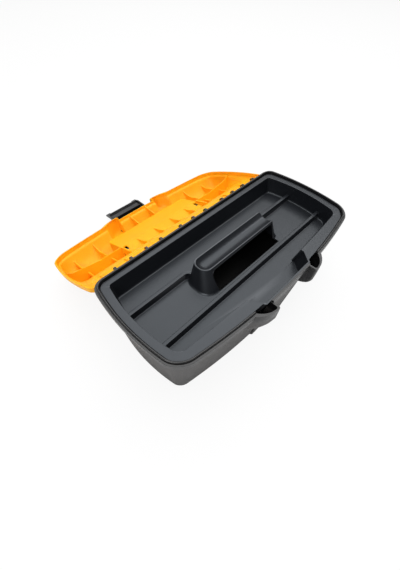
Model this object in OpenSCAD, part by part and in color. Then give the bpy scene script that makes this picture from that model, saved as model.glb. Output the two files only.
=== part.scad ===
/* [Overall] */
// Length over the rim and over the lid, in mm
case_l = 320; // [270:1:400]
// Rim from its straight back edge to the middle of its bowed front, in mm
case_w = 147.4; // [130:0.2:190]
// Height of the ledge that the lid shuts on, in mm
tub_h = 94.9; // [80:0.1:130]
// How far the front edge bows forward at its middle, in mm
front_bow = 14.5; // [6:0.5:18]
// How far each end bows outward at its middle, in mm
end_bow = 7; // [2:0.5:9]
// Corner radius of the rim at the front, in mm
front_r = 20; // [14:0.5:26]
// Corner radius of the rim at the back, in mm
back_r = 13; // [11:0.5:20]

/* [Tub] */
// Wall of the tub, in mm
tub_wall = 2.4; // [1.8:0.1:2.8]
// Floor of the tub, in mm
tub_floor = 2.6; // [2:0.1:4]
// Height of the rim band under the ledge, in mm
band_h = 6.9; // [5:0.1:9]
// How far the rim band stands out from the wall, in mm
band_out = 4; // [3:0.1:5]
// Inward lean of each end from rim to base, in mm
draft_end = 7.3; // [3:0.1:9]
// Inward lean of the back from rim to base, in mm
draft_back = 3.9; // [2:0.1:6]
// Inward lean of the front from rim to base, in mm
draft_front = 10.2; // [5:0.1:12]
// Height of the raised lip above the ledge, in mm
lip_h = 2.4; // [1.5:0.1:3.5]
// Width of the ledge outside the lip, in mm
ledge_w = 2.4; // [2:0.1:2.8]
// Thickness of the raised lip, in mm
lip_t = 2; // [1.6:0.1:2.4]

/* [Front of the tub] */
// Half the clear width between the two guards of the latch, in mm
guard_in = 34; // [30:0.5:40]
// Distance from the middle to the outer end of a guard, in mm
guard_out = 69; // [60:0.5:80]
// How far a guard stands out from the rim, in mm
guard_proj = 9; // [6:0.1:11]
// Height of a guard below the ledge, in mm
guard_h = 33; // [24:0.5:40]
// Wall of a guard, in mm
guard_t = 2; // [1.6:0.1:2.6]
// How far the middle panel stands out from the front wall, in mm
panel_out = 1.9; // [1.4:0.1:2.2]

/* [Tray] */
// Depth of the tray from its flange to its floor, in mm
tray_d = 22; // [16:0.5:30]
// Wall of the tray, in mm
tray_wall = 1.8; // [1.4:0.1:2.4]
// Thickness of the flange that the tray hangs by, in mm
flange_t = 2; // [1.5:0.1:3]
// Gap between the flange and the lip round it, in mm
tray_gap = 0.8; // [0.5:0.1:1.2]
// Width of the flange at the ends, in mm
flange_end = 8.6; // [6:0.1:11]
// Width of the flange at the back, in mm
flange_back = 7; // [5:0.1:9]
// Width of the flange at the front, in mm
flange_front = 15.6; // [12:0.1:17]
// Inward lean of the tray's front and back walls over their depth, in mm
tray_draft = 4.4; // [2:0.1:5]
// Inward lean of the tray's end walls over their depth, in mm
tray_draft_end = 1.6; // [0.5:0.1:3]
// How far the middle of the tray reaches forward of its mouth, in mm
bay_out = 15.6; // [12:0.1:15.8]
// Half the length of that bay at its front edge, in mm
bay_l = 39.5; // [30:0.5:44]
// Height of the two long ribs above the tray floor, in mm
rib_h = 8; // [4:0.5:12]
// Width of a long rib at its top, in mm
rib_w = 4.2; // [2:0.1:5]
// Middle of the back rib, measured forward from the tray's back wall, in mm
rib_back_at = 35; // [30:0.5:37]
// Middle of the front rib, measured forward from the tray's back wall, in mm
rib_front_at = 85.5; // [83:0.5:88]

/* [Tray handle] */
// Left end of the handle's top, from the middle of the tray, in mm
grip_x0 = -57; // [-62:0.5:-50]
// Right end of the handle's top, from the middle of the tray, in mm
grip_x1 = 68; // [60:0.5:74]
// Width of the handle over its trough, in mm
grip_w = 20.5; // [17:0.5:23]
// Height of the handle's rim above the flange, in mm
grip_up = 1; // [-3:0.5:2]
// Depth of the trough along the handle's top, in mm
trough_d = 4.5; // [3:0.5:6]
// Clear length of the finger opening, in mm
finger_l = 114; // [100:0.5:115]

/* [Lid] */
// Height of the lid over its skirt edge, in mm
lid_h = 36.5; // [35:0.5:40]
// Wall of the lid, in mm
lid_wall = 2; // [1.6:0.1:2]
// Height of the lid's skirt band, in mm
skirt_h = 7; // [6:0.5:9]
// Gap between the shut lid and the ledge, in mm
shut_gap = 0.3; // [0.3:0.1:0.6]
// Turn of the lid from shut to the pose drawn, in degrees
lid_open = 202.4; // [180:0.2:203]
// Back edge of the lid's flat crown behind the front edge of the rim, in mm
crown_back = 57.4; // [54:0.2:60]
// Half the length of the recess for the carrying handle, in mm
recess_l = 73; // [70:0.5:80]
// Depth of that recess below the crown, in mm
recess_d = 20; // [18:0.5:21]
// Width of that recess, front to back, in mm
recess_w = 36; // [33:0.5:38]
// Front edge of that recess behind the front edge of the rim, in mm
recess_at = 27; // [25:0.5:29]
// Slope of that recess towards the hinge, in degrees
recess_ramp = 17; // [15:0.5:24]
// Thickness of the ribs inside the lid, in mm
lid_rib_t = 1.6; // [1.2:0.1:2.4]
// Height of the ribs' free edges over the lid's skirt edge, in mm
lid_rib_z = 20; // [16:0.5:24]
// Distance of the inner pair of fins from the middle, in mm
fin_in = 15.5; // [10:0.5:20]
// Distance of the outer pair of fins from the middle, in mm
fin_out = 47; // [40:0.5:54]
// Length of the fins behind the recess, in mm
fin_l = 29; // [20:0.5:32]
// Distance of the outer cross ribs from the ends of the lid, in mm
rib_end = 30; // [24:0.5:36]
// Distance between the two cross ribs at each end, in mm
rib_step = 37; // [30:0.5:44]

/* [Hinge] */
// Distance of the hinge axis behind the rim, in mm
axis_back = 2.1; // [2:0.05:2.6]
// Distance of the hinge axis below the ledge, in mm
axis_down = 5.1; // [4.6:0.1:5.4]
// Diameter of the lid's hinge rod, in mm
rod_d = 3.4; // [3:0.1:3.5]
// Radial clearance of the rod in its hooks, in mm
rod_gap = 0.08; // [0.03:0.01:0.1]
// Wall of a hook round the rod, in mm
hook_t = 2.2; // [2:0.1:3.2]
// Width of a hook along the rod, in mm
hook_w = 2.6; // [2:0.1:4]
// Spacing of the hooks in a group, in mm
hook_pitch = 22.1; // [18:0.1:24]
// Spacing of the hooks across the gap between two groups, in mm
hook_gap = 32.3; // [26:0.1:36]

/* [Latch] */
// Width of the latch, in mm
latch_w = 62; // [50:0.5:64]
// Length of the latch from its pivot to its lower edge, in mm
latch_l = 55; // [48:0.5:56]
// Thickness of the latch plate, in mm
latch_t = 2.4; // [1.8:0.1:3]
// Turn of the latch from shut to the pose drawn, in degrees
latch_open = 67; // [40:1:90]
// Diameter of the latch pivots, in mm
latch_pin_d = 4; // [3:0.1:5]

/* [Carrying handle] */
// Distance from the handle's pivots to the middle of its grip, in mm
bail_reach = 33; // [31:0.5:35]
// Width of the grip, in mm
grip_bar_w = 15; // [12:0.5:16]
// Thickness of the grip, in mm
grip_bar_t = 8; // [6:0.5:9]
// Width of each arm of the handle, in mm
bail_arm_w = 4; // [3:0.1:5]
// Diameter of the handle's pivots, in mm
bail_pin_d = 4; // [3:0.1:4.6]

/* [Hidden] */
$fn = 48;
eps = 0.02;
run = 0.05;
dark = [0.2, 0.2, 0.21];
tray_col = [0.24, 0.25, 0.27];
yellow = [1, 0.66, 0.06];
black = [0.07, 0.07, 0.07];
rim_back = 71.15;
rim_front = rim_back - case_w;
lip_top = tub_h + lip_h;
shelf_z = tub_h - 3.4;
flange_z = shelf_z + flange_t;
wall_z = tub_h - band_h - band_out;
axis_y = rim_back + axis_back;
axis_z = tub_h - axis_down;

/* Outlines: [half length, front y, back y, front radius, back radius] */
function inset(o, e, f, b) =
    [o[0] - e, o[1] + f, o[2] - b, max(o[3] - e, o[3] * 0.6), max(o[4] - e, o[4] * 0.6)];
function rim(d) = inset([case_l / 2, rim_front, rim_back, front_r, back_r], d, d, d);

function arc(c, r, a0, a1, n, from = 1) =
    [for (i = [from:n]) let (a = a0 + (a1 - a0) * i / n) c + r * [cos(a), sin(a)]];
function seg(p, q, n, from = 1) = [for (i = [from:n]) p + (q - p) * i / n];

function square_ring(o) =
    let (h = o[0], f = o[1], b = o[2], rf = o[3], rb = o[4])
    concat(
        seg([-h + rf, f], [h - rf, f], 10, 0),
        arc([h - rf, f + rf], rf, -90, 0, 6),
        seg([h, f + rf], [h, b - rb], 6),
        arc([h - rb, b - rb], rb, 0, 90, 5),
        seg([h - rb, b], [-h + rb, b], 2),
        arc([-h + rb, b - rb], rb, 90, 180, 5),
        seg([-h, b - rb], [-h, f + rf], 6),
        [for (p = arc([-h + rf, f + rf], rf, 180, 270, 6)) if (p[0] < -h + rf - eps) p]);

function bowed(o, share = 1) =
    let (yc = (o[1] + o[2]) / 2, hy = (o[2] - o[1]) / 2, k = share * front_bow * o[0] / (case_l / 2))
    [for (p = square_ring(o))
        [p[0] * (1 - end_bow * pow((p[1] - yc) / hy, 2) / o[0]),
         p[1] + k * pow(p[0] / o[0], 2) * (o[2] - p[1]) / (o[2] - o[1])]];

/* A closed skin through rings of equal point count, each [z, ring] */
module loft(levels) {
    n = len(levels[0][1]);
    m = len(levels);
    pts = [for (l = levels) for (p = l[1]) [p[0], p[1], l[0]]];
    sides = [for (k = [0:m - 2]) for (i = [0:n - 1])
        let (j = (i + 1) % n, a = k * n + i, b = k * n + j)
        each [[a, a + n, b + n], [a, b + n, b]]];
    polyhedron(pts, concat([[for (i = [0:n - 1]) i]],
        [[for (i = [n - 1:-1:0]) (m - 1) * n + i]], sides), convexity = 6);
}

module mirror_x() {
    children();
    mirror([1, 0, 0]) children();
}

/* ---------------- tub ---------------- */
function wall_ring(z, t = 0) =
    let (k = 1 - z / wall_z)
    inset(rim(band_out), draft_end * k + t, draft_front * k + t, draft_back * k + t);

module tub_skin() {
    loft([
        [0, bowed(inset(wall_ring(0), 1.6, 1.6, 1.6))],
        [1.6, bowed(wall_ring(1.6))],
        [wall_z, bowed(wall_ring(wall_z))],
        [wall_z + band_out, bowed(rim(0))],
        [tub_h, bowed(rim(0))]]);
    loft([[shelf_z - 2, bowed(rim(ledge_w))], [lip_top, bowed(rim(ledge_w))]]);
}

pocket = ledge_w + lip_t;
module tub_hollow() {
    loft([
        [tub_floor, bowed(inset(wall_ring(tub_floor), tub_wall + 1.5, tub_wall + 1.5, tub_wall + 1.5))],
        [tub_floor + 1.5, bowed(wall_ring(tub_floor + 1.5, tub_wall))],
        [wall_z, bowed(inset(wall_ring(wall_z), tub_wall, tub_wall + 1, tub_wall))],
        [lip_top + 1, bowed(inset(wall_ring(wall_z), tub_wall, tub_wall + 1, tub_wall))]]);
    loft([[shelf_z, bowed(rim(pocket))], [lip_top + 1, bowed(rim(pocket))]]);
}

/* Front guards either side of the latch: bulged, hollow, open at the top */
guard_z = tub_h - guard_h;
function bow_at(x) = front_bow * pow(x / (case_l / 2), 2);
function guard_ring(f, w, t, y0) =
    let (i = guard_in + t, o = guard_out - 3 * t, l = o - i, d = w - f)
    [[i, y0], [i, f + t + 1.6], [i + 0.7, f + t + 0.4], [i + 2.4, f + t], [i + l * 0.3, f + t + d * 0.06],
     [i + l * 0.5, f + t + d * 0.2], [i + l * 0.7, f + t + d * 0.45], [i + l * 0.88, f + t + d * 0.8],
     [o, f + t + d], [o, y0]];
function wall_front(z) = wall_ring(min(z, wall_z))[1];

module guard(t, z1, y0) {
    w = bow_at(guard_out) + 1;
    loft([for (s = [[0, 0.06], [3, 0.45], [8, 0.8], [15, 0.97], [guard_h - 6, 1], [z1 - guard_z - t, 0.8]])
        let (z = guard_z + s[0] + (s[0] > 20 ? 0 : t),
             y = min(wall_front(z), rim_front + 7),
             f = y - (y - rim_front + guard_proj) * s[1])
        [s[0] > guard_h - 5 ? z1 : z, guard_ring(f, y + w, t, y0)]]);
}

/* Raised middle panel of the front wall, from the base to the rim */
function panel_y(z) = wall_ring(0)[1] - panel_out
    - (wall_ring(0)[1] - panel_out - rim_front - 2) * z / (tub_h - 5);
module front_panel() {
    function ring(z, w, d) = let (y = panel_y(z) + d)
        [[-w, y + 9], [-w, y + 1], [-w + 1, y], [w - 1, y], [w, y + 1], [w, y + 9]];
    loft([[0, ring(0, guard_in - 3, 1.6)], [1.6, ring(1.6, guard_in - 3, 0)],
        [guard_z, ring(guard_z, guard_in + 1, 0)], [tub_h - 5, ring(tub_h - 5, guard_in + 1, 0)]]);
    loft([[tub_h - 6.8, ring(tub_h - 6.8, guard_in + 1, 0)], [tub_h - 5, ring(tub_h - 5, guard_in + 1, -1.8)],
        [lip_top, ring(tub_h - 5, guard_in + 1, -1.8)]]);
}
module bay_hollow() {
    w = guard_in + guard_t + 1;
    function ring(y) = [[-w, y], [w, y], [w, y + 12], [-w, y + 12]];
    loft([[guard_z + 4, ring(panel_y(guard_z + 4) + 2.1)], [tub_h - 6.9, ring(panel_y(tub_h - 6.9) + 2.1)],
        [tub_h - 6.7, ring(rim_front + 2.4)], [lip_top + 1, ring(rim_front + 2.4)]]);
}

/* C-shaped hooks that the lid's rod snaps into from below */
module hook() {
    r = rod_d / 2 + rod_gap;
    rotate([90, 0, 90]) translate([0, 0, -hook_w / 2]) linear_extrude(hook_w) difference() {
        union() {
            circle(r + hook_t);
            translate([-axis_back - 2.5, -0.6]) square([axis_back + 2.5, r + hook_t + 0.6]);
        }
        circle(r);
        rotate(-65) translate([0, -rod_d * 0.4]) square([r + hook_t + 3, rod_d * 0.8]);
    }
}
function hook_x() =
    let (g = hook_pitch + hook_gap)
    [for (k = [0:3]) -g - (3 - k) * hook_pitch, for (k = [-1:1]) k * hook_pitch,
     for (k = [0:3]) g + k * hook_pitch];

module tub() color(dark) {
    difference() {
        union() {
            tub_skin();
            mirror_x() guard(0, tub_h, rim_front + 13.5);
            front_panel();
        }
        tub_hollow();
        mirror_x() guard(guard_t, lip_top + 1, rim_front + 16);
        bay_hollow();
        difference() {
            loft([[-1, bowed(inset(wall_ring(0), 8, 8, 8))], [0.8, bowed(inset(wall_ring(0), 8.8, 8.8, 8.8))]]);
            loft([[-2, bowed(inset(wall_ring(0), 12, 12, 12))], [2, bowed(inset(wall_ring(0), 12, 12, 12))]]);
        }
    }
    for (x = hook_x()) translate([x, axis_y, axis_z]) hook();
}

/* ---------------- tote tray ---------------- */
seat_in = pocket + tray_gap;
floor_z = flange_z - tray_d;
function mouth(t = 0, k = 0) =
    inset(rim(seat_in), flange_end + tray_draft_end * k - t, flange_front + tray_draft * k - t,
        flange_back + tray_draft * k - t);
mouth_back = mouth()[2];
mouth_front = mouth()[1];
function bay_ring(t, k) =
    let (f = mouth_front - bay_out + (tray_draft + 1.3) * k - t, b = mouth_front + tray_draft * k + 6,
         d = bay_out * 0.78, w = bay_l + t * 0.6 - k)
    [[-w - 10, b], [-w - 10, f + d], [-w, f], [w, f], [w + 10, f + d], [w + 10, b]];
function slot_ring(x0, x1, y0, y1, rl, rr) =
    concat(arc([x0 + rl, y0 + rl], rl, 180, 270, 8, 0), arc([x1 - rr, y0 + rr], rr, -90, 0, 4, 0),
        arc([x1 - rr, y1 - rr], rr, 0, 90, 4, 0), arc([x0 + rl, y1 - rl], rl, 90, 180, 8, 0));

module long_rib(y, x0, x1) {
    b = rib_w / 2 + 1.1;
    w = rib_w / 2;
    translate([0, y, floor_z]) rotate([90, 0, 90]) translate([0, 0, x0]) linear_extrude(x1 - x0)
        polygon([[-b, -0.6], [-b, 0], [-w, rib_h - 0.6], [-w + 0.6, rib_h],
            [w - 0.6, rib_h], [w, rib_h - 0.6], [b, 0], [b, -0.6]]);
}

grip_y1 = mouth_back - rib_back_at - rib_w / 2 - 3.3;
grip_y0 = grip_y1 - grip_w;
grip_top = flange_z + grip_up;
roof_z = grip_top - trough_d - tray_wall;
module grip_skin(t, z0, z1) {
    k = (z1 - floor_z) / (grip_top - floor_z);
    loft([[z0, slot_ring(grip_x0 - 11 + t, grip_x1 + 2 - t, grip_y0 - 17 + t, grip_y1 + 3 - t, 16 - t, 5 - t)],
        [z1, slot_ring(grip_x0 - 11 + 11 * k + t, grip_x1 + 2 - 2 * k - t, grip_y0 - 17 + 17 * k + t,
            grip_y1 + 3 - 3 * k - t, 16 - 6 * k - t, 5 - t)]]);
}
module trough() {
    w = grip_w / 2 - tray_wall;
    r = (w * w + trough_d * trough_d) / (2 * trough_d);
    x0 = grip_x0 + tray_wall + w;
    translate([x0, (grip_y0 + grip_y1) / 2, grip_top - trough_d + r]) {
        sphere(r, $fn = 64);
        rotate([0, 90, 0]) cylinder(r = r, h = grip_x1 - x0 + 2, $fn = 64);
    }
}
module finger_opening() {
    x1 = grip_x1 - 3.6;
    x0 = x1 - finger_l;
    r = 9;
    translate([0, grip_y0 - 17, 0]) rotate([90, 0, 0]) mirror([0, 0, 1]) linear_extrude(26) {
        translate([x0, floor_z - 3]) square([finger_l, roof_z - r - floor_z + 3]);
        translate([x0 + r, roof_z - r - eps]) square([finger_l - r - 3, r + eps]);
        translate([x0 + r, roof_z - r]) circle(r);
        translate([x1 - 3, roof_z - r - eps]) square([3, r - 3 + 2 * eps]);
        translate([x1 - 3, roof_z - 3]) circle(3);
    }
}

module tote_tray() color(tray_col) {
    back_y = mouth_back - rib_back_at;
    front_y = mouth_back - rib_front_at;
    x_end = mouth()[0] - tray_draft_end * 0.5;
    difference() {
        union() {
            difference() {
                union() {
                    loft([[shelf_z, bowed(rim(seat_in))], [flange_z - 0.5, bowed(rim(seat_in))],
                        [flange_z, bowed(rim(seat_in + 0.5))]]);
                    loft([[floor_z - tray_wall, bowed(mouth(tray_wall, 1.1), 0.5)],
                        [flange_z - 1, bowed(mouth(tray_wall), 0.5)]]);
                    loft([[floor_z - tray_wall, bay_ring(tray_wall, 1.1)], [flange_z, bay_ring(tray_wall, 0)]]);
                }
                loft([[floor_z, bowed(mouth(0, 1), 0.5)], [flange_z + 1, bowed(mouth(0, -0.05), 0.5)]]);
                loft([[floor_z, bay_ring(0, 1)], [flange_z + 1, bay_ring(0, -0.05)]]);
            }
            intersection() {
                union() {
                    long_rib(back_y, -x_end, grip_x0 - 4);
                    long_rib(back_y, grip_x1 - 4, x_end);
                    long_rib(front_y, -x_end, x_end);
                }
                loft([[floor_z - 1, bowed(mouth(0.6, 1), 0.5)], [flange_z, bowed(mouth(0.6), 0.5)]]);
            }
            grip_skin(0, floor_z - eps, grip_top);
        }
        grip_skin(tray_wall, floor_z - tray_wall - 1, roof_z);
        trough();
        finger_opening();
    }
}

/* ---------------- lid, drawn shut and then turned open ---------------- */
skirt_z = tub_h + shut_gap;
/* Outer form as rows of [height, end inset, front inset, back inset] */
function lid_rows() = let (h = lid_h, s = skirt_h, b = case_w - crown_back) [
    [0, 0, 0, 0], [s, 0.4, 0.4, 0.4], [s + 1.7, 2.6, 2.8, b * 0.078], [s + 3.2, 3.2, 3.6, b * 0.333],
    [h * 0.42, 4.2, 5.5, b * 0.544], [h * 0.61, 6, 8.2, b * 0.7], [h * 0.79, 9.5, 12.5, b * 0.828],
    [h * 0.91, 15, 17.5, b * 0.9], [h * 0.975, 21, 22, b * 0.95], [h, 29, 28, b]];
module lid_skin(t) {
    rows = lid_rows();
    loft([for (i = [0:len(rows) - 1])
        let (r = rows[i], drop = t * min(1, max(0, (r[0] - skirt_h) / 14)), g = t * (i > 6 ? 0.6 : 1),
             b = i == 2 ? t * 1.6 : t * 1.15)
        [skirt_z + (i == 0 ? (t > 0 ? -1 : 0) : r[0] - (i > 1 ? max(drop, t * 0.55) : t * 0.3)),
         bowed(inset(rim(0), r[1] + g, r[2] + g, r[3] + (i < 2 ? t : b)))]]);
}
module plate_x(x, t) {
    translate([x - t / 2, 0, skirt_z]) rotate([90, 0, 90]) linear_extrude(t) children();
}

recess_y0 = rim_front + recess_at;
recess_y1 = recess_y0 + recess_w;
recess_z = lid_h - recess_d;
module recess_block(t, z1) {
    z0 = skirt_z + recess_z - t;
    h = z1 - recess_z;
    function ring(k, rise) = slot_ring(-recess_l - t - k, recess_l + t + k, recess_y0 - t - k,
        recess_y1 + t * 0.15 + rise / tan(recess_ramp), 5, 5);
    loft([[z0, ring(-1.2, 0)], [z0 + 1.2, ring(0, 1.2)], [skirt_z + z1, ring(h * 0.05, h + t)]]);
}

/* Guards of the lid, which carry on the guards of the tub */
function front_row(h) = lookup(h, [for (r = lid_rows()) [r[0], r[2]]]);
module lid_guard(t) {
    w = bow_at(guard_out) + 1;
    top = lid_h * 0.84;
    loft([for (s = [[0, 0.8], [0.15, 1], [0.5, 1], [0.72, 0.9], [0.88, 0.6], [1, 0.15]])
        let (h = s[0] * top, y = rim_front + front_row(h), f = y - (y - rim_front + guard_proj) * s[1])
        [skirt_z + (s[0] == 0 ? (t > 0 ? -1 : 0) : h - t * s[0]), guard_ring(f, y + w, t, rim_front + 21 + t)]]);
}

bail_y = recess_y1 + 7;
bail_z = skirt_z + recess_z + 7.9;
bail_x = recess_l - 2.4 - bail_arm_w;
latch_y = rim_front - 1.6;
latch_z = skirt_z + lid_h * 0.6;

fin_z = recess_z - lid_wall;
module fin(x, t, tall = 0) {
    mirror_x() plate_x(x, t)
        polygon([[recess_y1 - 1, fin_z + 0.4], [recess_y1 + 5, fin_z + 0.2 - tall], [recess_y1 + 15, fin_z + 0.2 - tall],
            [recess_y1 + fin_l, fin_z - 1], [recess_y1 + fin_l, fin_z + 8], [recess_y1 - 1, fin_z + 16]]);
}
module fins() {
    fin(fin_in, lid_rib_t);
    fin(fin_out, lid_rib_t);
    fin(recess_l + lid_wall / 2, lid_wall, 1.4);
    mirror_x() plate_x(fin_in + 1, lid_rib_t)
        polygon([[rim_front + 1, lip_h + 0.4], [recess_y0 - 3, fin_z - 2], [recess_y0, fin_z], [recess_y0, lid_h], [rim_front, lid_h]]);
}
module cross_ribs() {
    y0 = rim_front + 3;
    y1 = recess_y0 + 8;
    z0 = skirt_h - 3;
    for (x = [case_l / 2 - rib_end, case_l / 2 - rib_end - rib_step]) mirror_x() plate_x(x, lid_rib_t)
        polygon(concat([[y0, z0]],
            [for (i = [1:8]) let (u = i / 8) [y0 + (y1 - y0) * u, z0 + (lid_rib_z - z0) * sin(90 * u)]],
            [[rim_front + crown_back + 24, lid_rib_z], [rim_back - 32, skirt_h], [rim_back - 3, z0 + 1],
                [rim_back - 3, lid_h], [y0, lid_h]]));
    mirror_x() translate([0, recess_y1 + 0.4, skirt_z]) rotate([90, 0, 0]) mirror([0, 0, 1]) linear_extrude(lid_rib_t)
        polygon([[recess_l, fin_z], [recess_l + rib_step, fin_z], [case_l / 2 - 12, fin_z - 5],
            [case_l / 2 - 3, lip_h + 1], [case_l / 2 - 3, lid_h], [recess_l, lid_h]]);
}

module lid_shut() {
    difference() {
        union() {
            difference() {
                union() {
                    lid_skin(0);
                    mirror_x() lid_guard(0);
                }
                lid_skin(lid_wall);
                mirror_x() lid_guard(guard_t);
            }
            intersection() {
                union() {
                    recess_block(lid_wall, lid_h + 1);
                    fins();
                    cross_ribs();
                }
                lid_skin(0);
            }
            mirror_x() translate([guard_in, latch_y, latch_z]) rotate([0, 90, 0]) cylinder(d = latch_pin_d + 4.4, h = guard_t + 1.2);
        }
        recess_block(0, lid_h + 1);
        mirror_x() bail_slot();
        mirror_x() translate([recess_l - 1, bail_y, bail_z]) rotate([0, 90, 0])
            cylinder(d = bail_pin_d + 2 * run, h = 5);
        mirror_x() translate([guard_in - 1, latch_y, latch_z]) rotate([0, 90, 0])
            cylinder(d = latch_pin_d + 2 * run, h = guard_t + 4);
        translate([-guard_in - 1.4, rim_front - 2, skirt_z - 2]) cube([2 * guard_in + 2.8, 8, lip_h + 2]);
    }
    hinge_webs();
}
module bail_slot() {
    translate([bail_x - 0.4, bail_y - 4.5, skirt_z + recess_z - lid_wall - 1]) cube([bail_arm_w + 0.8, 9, lid_wall + 7]);
}

/* Rod and webs between the hooks */
module hinge_webs() {
    xs = hook_x();
    e = hook_w / 2 + 0.8;
    translate([xs[0] - 11, axis_y, axis_z]) rotate([0, 90, 0]) cylinder(d = rod_d, h = 2 * abs(xs[0]) + 22);
    for (i = [0:len(xs)]) {
        a = i == 0 ? xs[0] - 11 : xs[i - 1] + e;
        b = i == len(xs) ? xs[i - 1] + 11 : xs[i] - e;
        translate([a, axis_y, axis_z]) rotate([90, 0, 90]) linear_extrude(b - a)
            polygon([[-axis_back + 0.35, 0], [-axis_back + 0.35, axis_down + shut_gap - 0.6],
                [-axis_back - 0.2, axis_down + shut_gap], [-axis_back - 1.6, axis_down + shut_gap],
                [-axis_back - 1.6, axis_down + shut_gap + 3.4], [-axis_back + 1.2, axis_down + shut_gap + 2.4],
                [0.5, axis_down + shut_gap - 1], [rod_d / 2, 0]]);
    }
}

module turn_lid() {
    translate([0, axis_y, axis_z]) rotate([-lid_open, 0, 0]) translate([0, -axis_y, -axis_z]) children();
}
module lid() color(yellow) turn_lid() lid_shut();

/* ---------------- latch, drawn shut and then turned with the lid ---------------- */
module latch_shut() difference() {
    latch_body();
    translate([-latch_w / 2 + 8, -latch_pin_d - 6, -latch_l - 3]) cube([latch_w - 16, 14, 6.2]);
}
module latch_body() {
    w = latch_w / 2;
    b = latch_pin_d / 2 + 1.6;
    y1 = rim_front - 0.9 - latch_y;
    catch_z = tub_h - 8.7 - latch_z;
    rotate([90, 0, 90]) {
        translate([0, 0, -w]) linear_extrude(latch_w) difference() {
            union() {
                circle(b);
                polygon([[-b, 0], [-b - 1.4, -12], [-b - 2, -latch_l * 0.55], [-b - 1.4, -latch_l * 0.8],
                    [-b - 3.4, -latch_l], [-b - 1.2, -latch_l - 0.6], [y1 - 0.5, -latch_l * 0.8],
                    [y1, -latch_l * 0.55], [y1, -8], [b * 0.7, -b * 0.7]]);
            }
            polygon([[-b + 1.4, -b - 3], [-b + latch_t - 1.5, -12], [-b + latch_t - 2, -latch_l * 0.55],
                [-b + latch_t - 1.6, -latch_l * 0.8], [-b - 0.4, -latch_l + 6.4], [y1 + 3, -latch_l + 6.4], [y1 + 3, -b - 3]]);
        }
        translate([0, 0, -w + 6]) linear_extrude(latch_w - 12)
            polygon([[-b - 0.2, catch_z + 0.6], [y1 + 1.6, catch_z + 0.6], [y1 + 2, catch_z],
                [y1 + 1.6, catch_z - 1], [-b - 0.2, catch_z - 4.5]]);
    }
    for (x = [-w, w - latch_t]) translate([x, 0, 0]) rotate([90, 0, 90]) linear_extrude(latch_t)
        polygon([[-b, 0], [-b - 1.4, -12], [-b - 1.4, -latch_l * 0.8], [-b - 2.2, -latch_l + 2],
            [y1 - 0.5, -latch_l * 0.8], [y1, -latch_l * 0.55], [y1, -b]]);
    rotate([0, 90, 0]) translate([0, 0, -guard_in - guard_t - 0.6]) cylinder(d = latch_pin_d, h = 2 * (guard_in + guard_t + 0.6));
}
module latch() color(black) turn_lid() translate([0, latch_y, latch_z]) rotate([-latch_open, 0, 0]) latch_shut();

/* ---------------- carrying handle, folded into its recess ---------------- */
module carry_handle() color(black) turn_lid() translate([0, bail_y, bail_z]) {
    rise = 3.4;
    y = -bail_reach;
    for (m = [0, 1]) mirror([m, 0, 0]) {
        translate([bail_x, 0, 0]) rotate([90, 0, 90]) linear_extrude(bail_arm_w) {
            circle(3.4);
            polygon([[0, -3.2], [0, 3.4], [y, rise + 3.4], [y, rise - 3.4]]);
            polygon([[-1.5, -3], [1.2, -3.2], [2.6, -5.6], [0, -6.8], [-1.8, -4.6]]);
        }
        rotate([0, 90, 0]) translate([0, 0, bail_x]) cylinder(d = bail_pin_d, h = recess_l - bail_x + 1.6);
    }
    translate([-bail_x - bail_arm_w, y, rise]) rotate([90, 0, 90]) linear_extrude(2 * (bail_x + bail_arm_w)) {
        intersection() {
            translate([0, 1.5]) scale([1, 1]) circle(d = grip_bar_w);
            square([grip_bar_w, grip_bar_t], center = true);
        }
    }
}

tub();
tote_tray();
lid();
latch();
carry_handle();
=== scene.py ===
import logging
import math
from dataclasses import dataclass
from enum import Enum
from functools import partial
from typing import Callable, Sequence

import bmesh
import bpy
import numpy as np
from mathutils import Matrix, Vector


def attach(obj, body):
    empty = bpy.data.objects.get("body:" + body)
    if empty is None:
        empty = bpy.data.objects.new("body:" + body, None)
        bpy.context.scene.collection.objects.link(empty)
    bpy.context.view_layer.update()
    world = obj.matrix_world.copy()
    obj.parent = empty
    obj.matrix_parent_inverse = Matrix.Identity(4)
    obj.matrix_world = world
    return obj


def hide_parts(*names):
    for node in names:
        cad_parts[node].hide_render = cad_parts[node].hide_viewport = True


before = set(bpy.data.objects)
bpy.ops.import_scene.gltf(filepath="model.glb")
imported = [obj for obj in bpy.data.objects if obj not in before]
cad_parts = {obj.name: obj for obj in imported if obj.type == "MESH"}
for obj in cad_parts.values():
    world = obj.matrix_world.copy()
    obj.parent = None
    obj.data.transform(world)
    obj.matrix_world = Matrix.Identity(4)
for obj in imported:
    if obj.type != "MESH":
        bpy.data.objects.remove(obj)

logging.basicConfig(level=logging.INFO, format="%(message)s")
log = logging.getLogger("tool_case")

MM = 0.001
WELD_MM = 0.02  # nearer points are merged
SLIVER_MM = 0.01  # shorter edges go
FLAT_DEG = 0.4  # flatter neighbours become one face
SHARP_DEG = 45  # sharper edges are shaded hard
Ring = np.ndarray
Level = tuple[float, Ring]


class Axis(Enum):
    """Direction that a profile is pushed along."""

    X = "x"
    Y = "y"
    Z = "z"


class Cut(Enum):
    """How two solids are combined."""

    JOIN = "UNION"
    CARVE = "DIFFERENCE"
    KEEP = "INTERSECT"


# ------------------------------------------------------------------ outlines


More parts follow.
